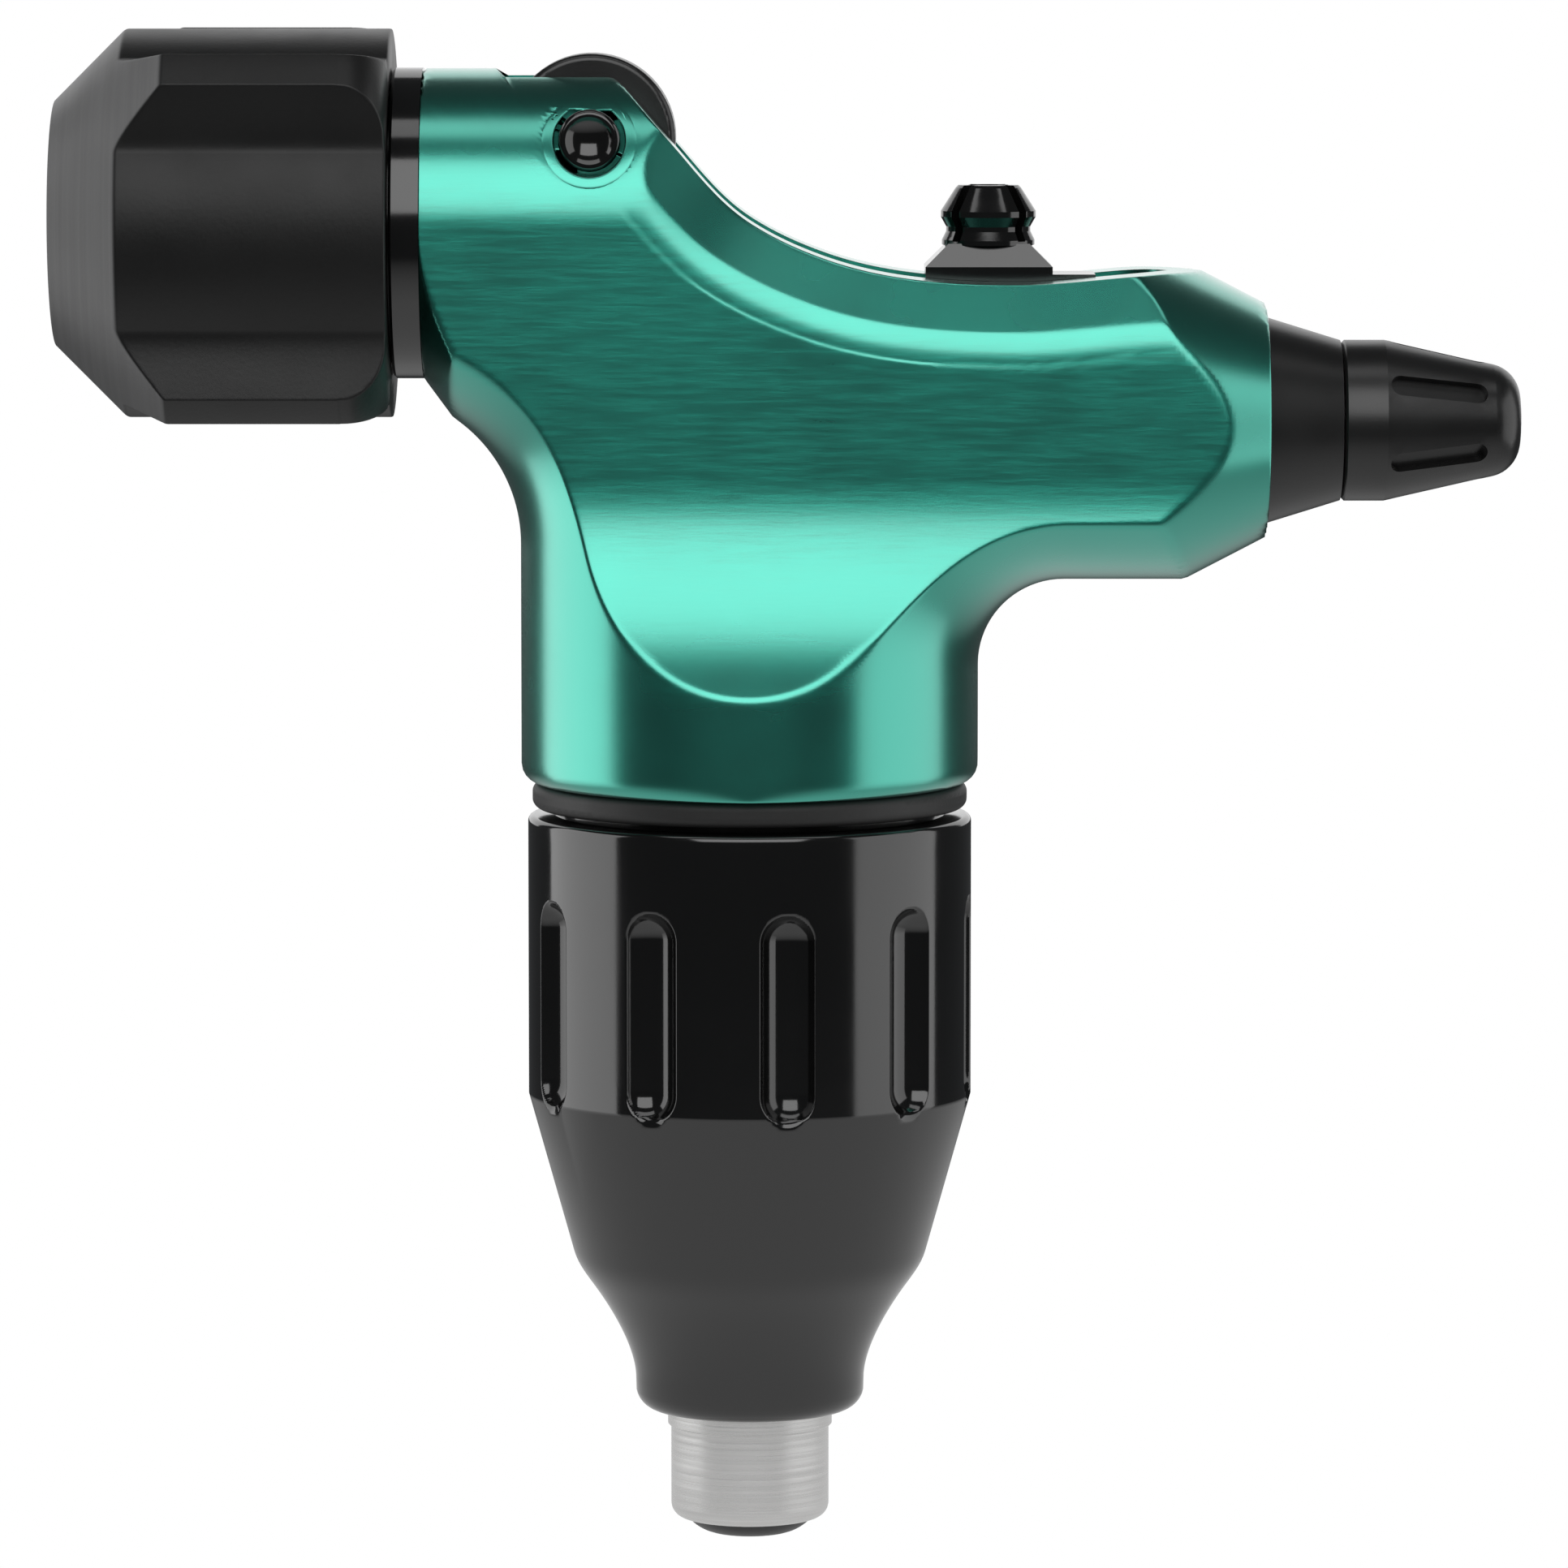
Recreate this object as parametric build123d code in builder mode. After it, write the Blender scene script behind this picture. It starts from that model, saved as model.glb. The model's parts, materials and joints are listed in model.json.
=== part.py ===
from build123d import *
import math
import os

# Hand-held rotary tattoo machine.
# Millimetres. Origin: centre of the tube mouth in the vise knob. +X runs back along the needle
# axis to the rear dial, +Z is up, and the motor hangs along -Z.

os.makedirs("parts", exist_ok=True)

# ---------------------------------------------------------------- driving dimensions
tube_r = 4.0  # an 8 mm tattoo tube
motor_x = 36.1  # motor, housing and jack share this vertical axis
dial_z = -10.28  # height of the slide, its spring and the rear dial
cam_throw = 1.75  # half of the 3.5 mm needle stroke
fit_gap = 0.05  # radial gap of every running fit

# frame
frame_front = 19.15
frame_rear = 63.0
barrel_r = 8.05
lower_r = 11.95
lower_bottom = -29.2
needle_slot_w = 5.1
needle_slot_front = 23.3
needle_slot_rear = 57.6
needle_slot_floor = -4.6
spigot_r = 6.6
spigot_depth = 3.45
needle_passage_r = 4.2
housing_bore_r = 10.2
housing_seat = -24.0
ring_bottom = -26.0
can_bore_r = 8.0
can_seat = -20.5
chamber_top = -6.6
chamber_half_x = 9.9
chamber_half_y = 6.25
rear_bore_r = 5.0

# vise
knob_len = 17.5
knob_r = 12.5
knob_valley_r = 10.1
knob_face_r = 6.4
knob_lobes = 4
knob_first_lobe = 41.0
collet_head = (3.6, 7.6)
collet_head_r = 6.0
collet_sleeve_r = 5.3
collet_end = 20.0
collar_nose_r = 7.0
collar_front = 8.7

# roller over the needle bar
roller_x = 27.9
roller_z = 4.46
roller_r = 4.37
roller_half = 2.0
axle_r = 1.0
axle_head_r = 1.6
boss_r = 1.83

# needle post
post_x = 48.54

# slide
rod_r = 3.45
rod_front = 43.8
rod_rear = 54.6
bush = (46.0, 56.5)
bush_screw_x = 53.5
bush_screw_r = 1.25
stem_passage_x = 49.3
stem_passage_len = 11.2
yoke_half_x = 7.7
yoke_half_y = 6.0
yoke_slot_half_x = 6.1
yoke_slot_half_y = 4.35
yoke_bottom = -12.6
yoke_top = -8.0

# drive
shaft_r = 1.0
bearing_bottom = -11.6
bearing_top = -9.1
bearing_r = 2.5
bearing_bore_r = 1.0

# motor
can_inner_r = 7.3
can_bottom = -44.0
cap_bottom = -46.5
boss_top = -19.3

# housing
housing_top = -30.9
housing_r = 11.61
housing_base = -62.4
flute_count = 10
flute_first = 10.0
flute_r = 1.6
flute_axis_r = 12.2
flute_top = -34.9
flute_bottom = -46.0

# jack
jack_r = 4.15
jack_ring_r = 4.32
jack_ring_bottom = -63.3
jack_bottom = -68.2
jack_bore_r = 3.3
pin_bore_r = 1.65

# rear dial
collar_base_r = 5.4
collar_tip_r = 4.19
collar_tip = 66.9
dial_front = 66.98
dial_rear = 76.3
dial_r = 4.2
spindle_r = 2.0


def save(node, name):
    """Label a finished sub-part and write its STEP file."""
    node.part.label = name
    export_step(node.part, "parts/" + name + ".step")


def x_plane(x, z=0.0):
    """A sketch plane across the X axis at x, its own x along +Y and its y along +Z."""
    return Plane(origin=(x, 0, z), x_dir=(0, 1, 0), z_dir=(1, 0, 0))


def side_plane(y=0.0):
    """A sketch plane facing -Y at y, its own x along +X and its y along +Z."""
    return Plane(origin=(0, y, 0), x_dir=(1, 0, 0), z_dir=(0, -1, 0))


def sag(half_width):
    """How far the round flank of the lower barrel falls back at a half width."""
    return lower_r - math.sqrt(lower_r**2 - half_width**2)


# ---------------------------------------------------------------- frame
shoulder_slope = 49.0  # fall of the top edge behind the roller, in degrees
shoulder_x = 28.86


def lowered(x, z, slope, drop):
    """A point of the top edge moved inwards by drop, square to the edge there."""
    turn = math.radians(slope)
    return (x - drop * math.sin(turn), z - drop * math.cos(turn))


def side_profile(drop):
    """Side view of the upper body, with its top edge lowered by drop."""
    corner = (shoulder_x - drop * math.tan(math.radians(shoulder_slope / 2)), barrel_r - drop)
    dip = lowered(32.2, 4.2, shoulder_slope, drop)
    neck = [lowered(36.0, 0.34, 34, drop), lowered(40.2, -1.68, 18, drop)]
    low = lowered(50.0, -2.95, 0, drop)
    crest = lowered(58.0, -2.45, 0, drop)
    down = math.radians(shoulder_slope)
    with BuildSketch(Plane.XZ) as profile:
        with BuildLine():
            Line((frame_front - 1, barrel_r - drop), corner)
            Line(corner, dip)
            Spline([dip] + neck + [low], tangents=[(math.cos(down), -math.sin(down)), (1, 0)])
            Spline([low, crest], tangents=[(1, 0), (1, 0)])
            Polyline(
                crest,
                (frame_rear + 1, crest[1]),
                (frame_rear + 1, -18.6),
                (52.5, -18.6),
                (52.5, -23.0),
                (motor_x, -23.0),
                (motor_x, -16.7),
                (frame_front - 1, -16.7),
                (frame_front - 1, barrel_r - drop),
            )
        make_face()
    return profile.sketch


top_land_half = 6.3
bevel_half = 7.65
bevel_drop = 2.45
roll_drop = 3.9

with BuildPart() as upper:
    extrude(side_profile(0), amount=top_land_half, both=True)
    for side in (1, -1):
        land = Pos(0, side * top_land_half, 0) * side_profile(0)
        crease = Pos(0, side * bevel_half, 0) * side_profile(bevel_drop)
        pad = Pos(0, side * barrel_r, 0) * side_profile(roll_drop)
        loft([land, crease], ruled=True)
        loft([crease, pad], ruled=True)

with BuildPart() as section:
    # Round over the needle axis, flat at the sides, then flared into the lower barrel.
    flare_start = -14.0
    flare_end = -23.9
    with BuildSketch(x_plane(frame_front - 2)):
        with BuildLine() as half:
            RadiusArc((0, barrel_r), (barrel_r, 0), barrel_r)
            Line((barrel_r, 0), (barrel_r, flare_start))
            TangentArc([(barrel_r, flare_start), (lower_r, flare_end)], tangent=(0, -1))
            Line((lower_r, flare_end), (lower_r + 0.6, -24.6))
            Line((lower_r + 0.6, -24.6), (lower_r + 0.6, -32))
            Line((lower_r + 0.6, -32), (0, -32))
            mirror(half.line, about=Plane.YZ)
        make_face()
    extrude(amount=frame_rear - frame_front + 4)


with BuildPart() as lower:
    # Turned lower barrel, milled back to the same side profile.
    barrel_len = -12.0 - lower_bottom
    with Locations((motor_x, 0, lower_bottom)):
        Cylinder(lower_r, barrel_len, align=(Align.CENTER, Align.CENTER, Align.MIN))
    fillet(lower.edges().filter_by(GeomType.CIRCLE).sort_by(Axis.Z)[0], radius=1.0)
    add(section.part, mode=Mode.INTERSECT)

with BuildPart() as front_spool:
    # The lower barrel's round flank, carried up and forwards on an 8 mm arc.
    front_spool_x = 16.2
    front_spool_z = -16.7
    reach = motor_x - lower_r + sag(9)
    with BuildSketch(Plane.XY.offset(front_spool_z)):
        with BuildLine():
            Polyline((reach, 9), (front_spool_x, 9), (front_spool_x, -9), (reach, -9))
            ThreePointArc((reach, -9), (motor_x - lower_r, 0), (reach, 9))
        make_face()
    revolve(axis=Axis((front_spool_x, 0, front_spool_z), (0, 1, 0)))

with BuildPart() as rear_spool:
    # The same flank carried up and backwards on a tighter arc.
    rear_spool_x = 52.5
    rear_spool_z = -23.0
    back = motor_x + lower_r - sag(9)
    with BuildSketch(Plane.XY.offset(rear_spool_z)):
        with BuildLine():
            Polyline((back, 9), (rear_spool_x, 9), (rear_spool_x, -9), (back, -9))
            ThreePointArc((back, -9), (motor_x + lower_r, 0), (back, 9))
        make_face()
    revolve(axis=Axis((rear_spool_x, 0, rear_spool_z), (0, 1, 0)))

with BuildPart() as belly_cut:
    # Rounds the underside of the tail.
    belly = -18.55
    with BuildSketch(x_plane(rear_spool_x)):
        with BuildLine():
            Polyline((9, belly + sag(9)), (9, -24), (-9, -24), (-9, belly + sag(9)))
            ThreePointArc((-9, belly + sag(9)), (0, belly), (9, belly + sag(9)))
        make_face()
    extrude(amount=frame_rear + 2 - rear_spool_x)

with BuildPart() as tail_cone:
    # Blunt oval cone that trims the rear end around the dial.
    cone_len = 11.0
    cone_slope = 0.517
    widen = cone_len * cone_slope
    with BuildSketch(x_plane(frame_rear, dial_z)):
        Ellipse(6.9, 6.1)
    with BuildSketch(x_plane(frame_rear - cone_len, dial_z)):
        Ellipse(6.9 + widen, 6.1 + widen)
    loft(ruled=True)

with BuildPart() as tail_cut:
    with Locations((frame_rear - cone_len, 0, dial_z)):
        Box(cone_len + 3, 30, 30, align=(Align.MIN, Align.CENTER, Align.CENTER))
    add(tail_cone.part, mode=Mode.SUBTRACT)

with BuildPart() as neck_cut:
    # Cone behind the front face that thins the web under the barrel.
    neck_len = 3.4
    neck_slope = 1.35
    neck_r = barrel_r + 0.03
    with Locations((frame_front - 1.2, 0, -0.3)):
        Box(neck_len + 1.2, 30, 24, align=(Align.MIN, Align.CENTER, Align.MAX))
    with BuildSketch(Plane.XZ):
        with BuildLine():
            Polyline(
                (frame_front - 2, 0),
                (frame_front - 2, neck_r),
                (frame_front, neck_r),
                (frame_front + neck_len + 1, neck_r + (neck_len + 1) * neck_slope),
                (frame_front + neck_len + 1, 0),
                close=True,
            )
        make_face()
    revolve(axis=Axis.X, mode=Mode.SUBTRACT)

with BuildPart() as frame:
    add(upper.part)
    add(section.part, mode=Mode.INTERSECT)
    add(front_spool.part, mode=Mode.SUBTRACT)
    add(rear_spool.part, mode=Mode.SUBTRACT)
    add(belly_cut.part, mode=Mode.SUBTRACT)
    add(tail_cut.part, mode=Mode.SUBTRACT)
    add(neck_cut.part, mode=Mode.SUBTRACT)
    # Square front face.
    with Locations((frame_front, 0, 0)):
        Box(4, 40, 60, align=(Align.MAX, Align.CENTER, Align.CENTER), mode=Mode.SUBTRACT)
    # Rounded shoulder above the roller.
    fall = math.radians(shoulder_slope)
    shoulder_reach = 1.46
    start = (shoulder_x - shoulder_reach, barrel_r)
    end = (
        shoulder_x + shoulder_reach * math.cos(fall),
        barrel_r - shoulder_reach * math.sin(fall),
    )
    with BuildSketch(Plane.XZ):
        with BuildLine():
            TangentArc([start, end], tangent=(1, 0))
            Polyline(end, (end[0] + 0.4, barrel_r + 1), (start[0], barrel_r + 1), start)
        make_face()
    extrude(amount=12, both=True, mode=Mode.SUBTRACT)
    add(lower.part)

    # Spigot bore for the vise, then the needle passage.
    with BuildSketch(x_plane(frame_front)):
        Circle(spigot_r)
    extrude(amount=spigot_depth, mode=Mode.SUBTRACT)
    with BuildSketch(x_plane(frame_front)):
        Circle(needle_passage_r)
    extrude(amount=needle_slot_front + 2.55 - frame_front, mode=Mode.SUBTRACT)
    # Slot along the top, with the deeper passage for the moving stem.
    slot_len = needle_slot_rear - needle_slot_front
    with BuildSketch(Plane.XY.offset(needle_slot_floor)):
        with Locations(((needle_slot_front + needle_slot_rear) / 2, 0)):
            SlotOverall(slot_len, needle_slot_w)
        with Locations((needle_slot_front + 3, 0)):
            RectangleRounded(6, needle_slot_w, 0.4)
    extrude(amount=20, mode=Mode.SUBTRACT)
    with BuildSketch(Plane.XY.offset(dial_z)):
        with Locations((stem_passage_x, 0)):
            SlotOverall(stem_passage_len, needle_slot_w)
    extrude(amount=8, mode=Mode.SUBTRACT)
    # Roller axle hole, its head recessed on both sides.
    with BuildSketch(Plane.XZ):
        with Locations((roller_x, roller_z)):
            Circle(axle_r)
    extrude(amount=10, both=True, mode=Mode.SUBTRACT)
    for side in (1, -1):
        with BuildSketch(side_plane(-side * 4.6)):
            with Locations((roller_x, roller_z)):
                Circle(boss_r)
        extrude(amount=side * 6, mode=Mode.SUBTRACT)
    # Bores for the housing and the motor, and the chamber for cam and yoke.
    with BuildSketch(Plane.XY.offset(lower_bottom)):
        with Locations((motor_x, 0)):
            Circle(housing_bore_r)
    extrude(amount=housing_seat - lower_bottom, mode=Mode.SUBTRACT)
    with BuildSketch(Plane.XY.offset(housing_seat)):
        with Locations((motor_x, 0)):
            Circle(can_bore_r)
    extrude(amount=can_seat - housing_seat, mode=Mode.SUBTRACT)
    with BuildSketch(Plane.XY.offset(housing_seat)):
        with Locations((motor_x, 0)):
            RectangleRounded(2 * chamber_half_x, 2 * chamber_half_y, 3.0)
    extrude(amount=chamber_top - housing_seat, mode=Mode.SUBTRACT)
    # Rear bore for the slide bush and the dial cartridge.
    with BuildSketch(x_plane(motor_x, dial_z)):
        Circle(rear_bore_r)
    extrude(amount=frame_rear - motor_x + 1, mode=Mode.SUBTRACT)
    # Tapped hole under the tail for the bush's locking screw.
    with BuildSketch(Plane.XY.offset(belly - 1)):
        with Locations((bush_screw_x, 0)):
            Circle(bush_screw_r)
    extrude(amount=5, mode=Mode.SUBTRACT)
save(frame, "frame")

# ---------------------------------------------------------------- vise
with BuildPart() as vise_collar:
    # Pressed into the barrel; the knob turns on its nose, the collet slides in its bore.
    with BuildSketch(Plane.XZ):
        with BuildLine():
            Polyline(
                (collar_front, collet_sleeve_r + fit_gap),
                (collar_front, collar_nose_r - 0.4),
                (collar_front + 0.4, collar_nose_r),
                (12.0, collar_nose_r),
                (12.0, collar_nose_r - 0.5),
                (12.8, collar_nose_r - 0.5),
                (12.8, collar_nose_r),
                (14.9, collar_nose_r),
                (14.9, 6.25),
                (16.1, 6.25),
                (16.1, collar_nose_r),
                (knob_len + 0.1, collar_nose_r),
                (knob_len + 0.1, 7.93),
                (knob_len + 0.25, 8.08),
                (frame_front, 8.08),
                (frame_front, spigot_r),
                (frame_front + spigot_depth, spigot_r),
                (frame_front + spigot_depth, collet_sleeve_r + fit_gap),
                close=True,
            )
        make_face()
    revolve(axis=Axis.X)
save(vise_collar, "vise_collar")

with BuildPart() as vise_knob:
    # Four soft lobes, coned at the front and rolled over at the back.
    def rim(angle, radius):
        turn = math.radians(angle)
        return (-radius * math.cos(turn), radius * math.sin(turn))

    def along(angle):
        turn = math.radians(angle)
        return (math.sin(turn), math.cos(turn))

    crest_half = 4.2
    flank_half = 9.0
    valley_half = 27.0
    pitch = 360 / knob_lobes
    with BuildSketch(x_plane(0)):
        with BuildLine():
            for lobe in range(knob_lobes):
                mid = knob_first_lobe + lobe * pitch
                rise = mid - pitch / 2 + valley_half
                ThreePointArc(
                    rim(mid - crest_half, knob_r),
                    rim(mid, knob_r),
                    rim(mid + crest_half, knob_r),
                )
                Spline(
                    [
                        rim(mid + crest_half, knob_r),
                        rim(mid + flank_half, 11.3),
                        rim(mid + pitch / 2 - valley_half, knob_valley_r),
                    ],
                    tangents=[along(mid + crest_half), along(mid + pitch / 2 - valley_half)],
                )
                ThreePointArc(
                    rim(mid + pitch / 2 - valley_half, knob_valley_r),
                    rim(mid + pitch / 2, knob_valley_r),
                    rim(mid + pitch / 2 + valley_half, knob_valley_r),
                )
                Spline(
                    [
                        rim(rise + pitch, knob_valley_r),
                        rim(mid + pitch - flank_half, 11.3),
                        rim(mid + pitch - crest_half, knob_r),
                    ],
                    tangents=[along(rise + pitch), along(mid + pitch - crest_half)],
                )
        make_face()
    extrude(amount=knob_len)
    cone_end = 6.1
    roll = 2.4
    with BuildSketch(Plane.XZ):
        with BuildLine():
            Polyline((knob_len, 0), (0, 0), (0, knob_face_r), (cone_end, knob_r))
            Line((cone_end, knob_r), (knob_len - roll, knob_r))
            TangentArc([(knob_len - roll, knob_r), (knob_len, knob_r - roll)], tangent=(1, 0))
            Line((knob_len, knob_r - roll), (knob_len, 0))
        make_face()
    revolve(axis=Axis.X, mode=Mode.INTERSECT)
    with BuildSketch(Plane.XZ):
        with BuildLine():
            Polyline(
                (0, 0),
                (0, 5.1),
                (2.7, 5.1),
                (2.7, collet_head_r + fit_gap),
                (collar_front - 0.2, collet_head_r + fit_gap),
                (collar_front - 0.2, collar_nose_r + 0.3),
                (11.8, collar_nose_r + 0.3),
                (11.8, 7.75),
                (13.0, 7.75),
                (13.0, collar_nose_r + 0.3),
                (knob_len, collar_nose_r + 0.3),
                (knob_len, 0),
                close=True,
            )
        make_face()
    revolve(axis=Axis.X, mode=Mode.SUBTRACT)
save(vise_knob, "vise_knob")

with BuildPart() as knob_snap_ring:
    # Open spring ring that keeps the knob on the collar.
    with BuildSketch(x_plane(12.1)):
        Circle(7.5)
        Circle(collar_nose_r - 0.5, mode=Mode.SUBTRACT)
        with Locations((0, -7)):
            Rectangle(2.4, 3, mode=Mode.SUBTRACT)
    extrude(amount=0.6)
save(knob_snap_ring, "knob_snap_ring")

with BuildPart() as knob_o_ring:
    # Gives the knob its drag.
    with BuildSketch(Plane.XZ):
        with Locations((15.5, 6.75)):
            Circle(0.5)
    revolve(axis=Axis.X)
save(knob_o_ring, "knob_o_ring")

with BuildPart() as collet:
    # Split sleeve that grips the tube; its head is threaded in the knob.
    with BuildSketch(Plane.XZ):
        with BuildLine():
            Polyline(
                (0, tube_r),
                (0, 4.9),
                (collet_head[0], 4.9),
                (collet_head[0], collet_head_r),
                (collet_head[1], collet_head_r),
                (collet_head[1], collet_sleeve_r),
                (collet_end, collet_sleeve_r),
                (collet_end, tube_r),
                close=True,
            )
        make_face()
    revolve(axis=Axis.X)
    with BuildSketch(x_plane(collet_end)):
        with PolarLocations(5, 3, start_angle=90):
            Rectangle(4, 0.6)
    extrude(amount=-10, mode=Mode.SUBTRACT)
save(collet, "collet")

# ---------------------------------------------------------------- roller
with BuildPart() as roller_wheel:
    # Rides on the needle bar and steadies it.
    with BuildSketch(Plane.XZ):
        with Locations((roller_x, roller_z)):
            Circle(roller_r)
            Circle(axle_r + fit_gap, mode=Mode.SUBTRACT)
    extrude(amount=roller_half, both=True)
    rims = roller_wheel.edges().filter_by(GeomType.CIRCLE)
    fillet(rims.group_by(SortBy.RADIUS)[-1], radius=0.35)
save(roller_wheel, "roller_wheel")

with BuildPart() as roller_axle:
    # Headed pin, dimpled on its face, with a threaded tail.
    head_face = -6.9
    with BuildSketch(side_plane(5.6)):
        with Locations((roller_x, roller_z)):
            Circle(axle_r)
    extrude(amount=5.6 + 4.6)
    with BuildSketch(side_plane(-4.6)):
        with Locations((roller_x, roller_z)):
            Circle(axle_head_r)
    extrude(amount=-head_face - 4.6)
    fillet(roller_axle.edges().filter_by(GeomType.CIRCLE).sort_by(Axis.Y)[0], radius=0.25)
    with Locations((roller_x, head_face - 1.25, roller_z)):
        Sphere(1.75, mode=Mode.SUBTRACT)
save(roller_axle, "roller_axle")

with BuildPart() as roller_axle_cap:
    # Threaded cap on the far end of the axle, with a driver slot.
    with BuildSketch(side_plane(6.9)):
        with Locations((roller_x, roller_z)):
            Circle(axle_head_r)
    extrude(amount=6.9 - 4.6)
    fillet(roller_axle_cap.edges().filter_by(GeomType.CIRCLE).sort_by(Axis.Y)[-1], radius=0.2)
    with BuildSketch(side_plane(5.6)):
        with Locations((roller_x, roller_z)):
            Circle(axle_r)
    extrude(amount=1.0, mode=Mode.SUBTRACT)
    with Locations((roller_x, 6.9, roller_z)):
        Box(4, 1.2, 0.5, mode=Mode.SUBTRACT)
save(roller_axle_cap, "roller_axle_cap")

with BuildPart() as roller_washers:
    # One thin washer each side of the roller.
    for side in (1, -1):
        with BuildSketch(side_plane(-side * (roller_half + fit_gap))):
            with Locations((roller_x, roller_z)):
                Circle(2.2)
                Circle(axle_r, mode=Mode.SUBTRACT)
        extrude(amount=side * 0.4)
save(roller_washers, "roller_washers")

# ---------------------------------------------------------------- slide and needle post
with BuildPart() as yoke:
    # Slotted plate that the cam bearing pushes to and fro.
    with BuildSketch(Plane.XY.offset(yoke_bottom)):
        with Locations((motor_x, 0)):
            RectangleRounded(2 * yoke_half_x, 2 * yoke_half_y, 2.0)
            RectangleRounded(2 * yoke_slot_half_x, 2 * yoke_slot_half_y, 1.5, mode=Mode.SUBTRACT)
    extrude(amount=yoke_top - yoke_bottom)
    with BuildSketch(x_plane(motor_x + yoke_slot_half_x, dial_z)):
        Circle(1.5)
    extrude(amount=yoke_half_x, mode=Mode.SUBTRACT)
    with Locations((motor_x, 0, dial_z)):
        Box(yoke_slot_half_x * 2, 2, 2, mode=Mode.SUBTRACT)
save(yoke, "yoke")

stem = (45.9, 51.2)  # front and rear of the post's stem
stem_seat = -7.6
stem_height = 4.2
post_width = 4.6
tail_bore_r = 2.3
post_screw_r = 1.0
post_screw_head_r = 1.9
post_screw_seat = dial_z - rod_r + 1.5
with BuildPart() as slide_rod:
    # Round rod, spigoted into the yoke, seated for the stem and bored for the spring.
    with BuildSketch(x_plane(rod_front, dial_z)):
        Circle(rod_r)
    extrude(amount=rod_rear - rod_front)
    with BuildSketch(x_plane(rod_front, dial_z)):
        Circle(1.5)
    extrude(amount=motor_x + yoke_slot_half_x - rod_front)
    with BuildSketch(Plane.XY.offset(stem_seat)):
        with Locations(((stem[0] + stem[1]) / 2, 0)):
            Rectangle(stem[1] - stem[0], 10)
    extrude(amount=3, mode=Mode.SUBTRACT)
    with BuildSketch(x_plane(rod_rear, dial_z)):
        Circle(tail_bore_r)
    extrude(amount=-2.6, mode=Mode.SUBTRACT)
    with Locations((post_x, 0, dial_z)):
        Cylinder(post_screw_r, 10, mode=Mode.SUBTRACT)
    with BuildSketch(Plane.XY.offset(post_screw_seat)):
        with Locations((post_x, 0)):
            Circle(post_screw_head_r)
    extrude(amount=-2, mode=Mode.SUBTRACT)
save(slide_rod, "slide_rod")

with BuildPart() as needle_post:
    # Stem through the slot, block base with a tail plate, and a barbed, four-fingered post.
    base_top = -2.2
    with BuildSketch(Plane.XY.offset(stem_seat)):
        with Locations(((stem[0] + stem[1]) / 2, 0)):
            RectangleRounded(stem[1] - stem[0], post_width, 2.0)
    extrude(amount=stem_height)
    with Locations((post_x, 0, -3.5)):
        Box(6.6, post_width, 3.5 + base_top, align=(Align.CENTER, Align.CENTER, Align.MIN))
    with Locations((post_x, 0, -3.1)):
        Box(5.52, post_width, 0.52, align=(Align.MIN, Align.CENTER, Align.MIN))
    with BuildSketch(Plane.XY.offset(base_top)):
        with Locations((post_x, 0)):
            Rectangle(6.6, post_width)
    with BuildSketch(Plane.XY.offset(-1.0)):
        with Locations((post_x, 0)):
            Rectangle(4.2, 3.9)
    loft()
    with BuildSketch(Plane(origin=(post_x, 0, 0), x_dir=(1, 0, 0), z_dir=(0, -1, 0))):
        with BuildLine():
            Polyline(
                (0, -2.4),
                (1.95, -2.4),
                (1.95, -1.3),
                (2.42, -1.1),
                (2.42, -0.85),
                (2.2, -0.4),
                (2.2, -0.15),
                (2.48, 0.35),
                (2.48, 0.65),
                (1.71, 1.85),
                (1.57, 1.99),
                (0, 1.99),
                close=True,
            )
        make_face()
    revolve(axis=Axis((post_x, 0, 0), (0, 0, 1)))
    with BuildSketch(Plane.XY.offset(1.99)):
        with Locations((post_x, 0)):
            Circle(1.05)
            with PolarLocations(0, 2, start_angle=45, angular_range=180):
                Rectangle(8, 0.55)
    extrude(amount=-2.9, mode=Mode.SUBTRACT)
    with Locations((post_x, 0, stem_seat)):
        Cylinder(
            post_screw_r,
            stem_height,
            align=(Align.CENTER, Align.CENTER, Align.MIN),
            mode=Mode.SUBTRACT,
        )
save(needle_post, "needle_post")

with BuildPart() as post_screw:
    # Comes up through the rod into the stem.
    head_height = 1.3
    with BuildSketch(Plane.XY.offset(post_screw_seat)):
        with Locations((post_x, 0)):
            Circle(post_screw_head_r)
    extrude(amount=-head_height)
    with BuildSketch(Plane.XY.offset(post_screw_seat)):
        with Locations((post_x, 0)):
            Circle(post_screw_r)
    extrude(amount=stem_seat + stem_height - post_screw_seat)
    with BuildSketch(Plane.XY.offset(post_screw_seat - head_height)):
        with Locations((post_x, 0)):
            RegularPolygon(0.9, 6)
    extrude(amount=0.7, mode=Mode.SUBTRACT)
save(post_screw, "post_screw")

with BuildPart() as slide_bush:
    # Plain bush for the rod, notched for the stem.
    with BuildSketch(x_plane(bush[0], dial_z)):
        Circle(rear_bore_r)
        Circle(rod_r + fit_gap, mode=Mode.SUBTRACT)
    extrude(amount=bush[1] - bush[0])
    with BuildSketch(Plane.XY.offset(dial_z)):
        with Locations((stem_passage_x, 0)):
            SlotOverall(stem_passage_len, needle_slot_w)
    extrude(amount=8, mode=Mode.SUBTRACT)
    # Dimple for the locking screw, and a notch that clears the post screw's head.
    with BuildSketch(Plane.XY.offset(dial_z)):
        with Locations((bush_screw_x, 0)):
            Circle(0.6)
        with Locations((post_x, 0)):
            Rectangle(7.6, 4.2)
    extrude(amount=-8, mode=Mode.SUBTRACT)
save(slide_bush, "slide_bush")

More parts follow.
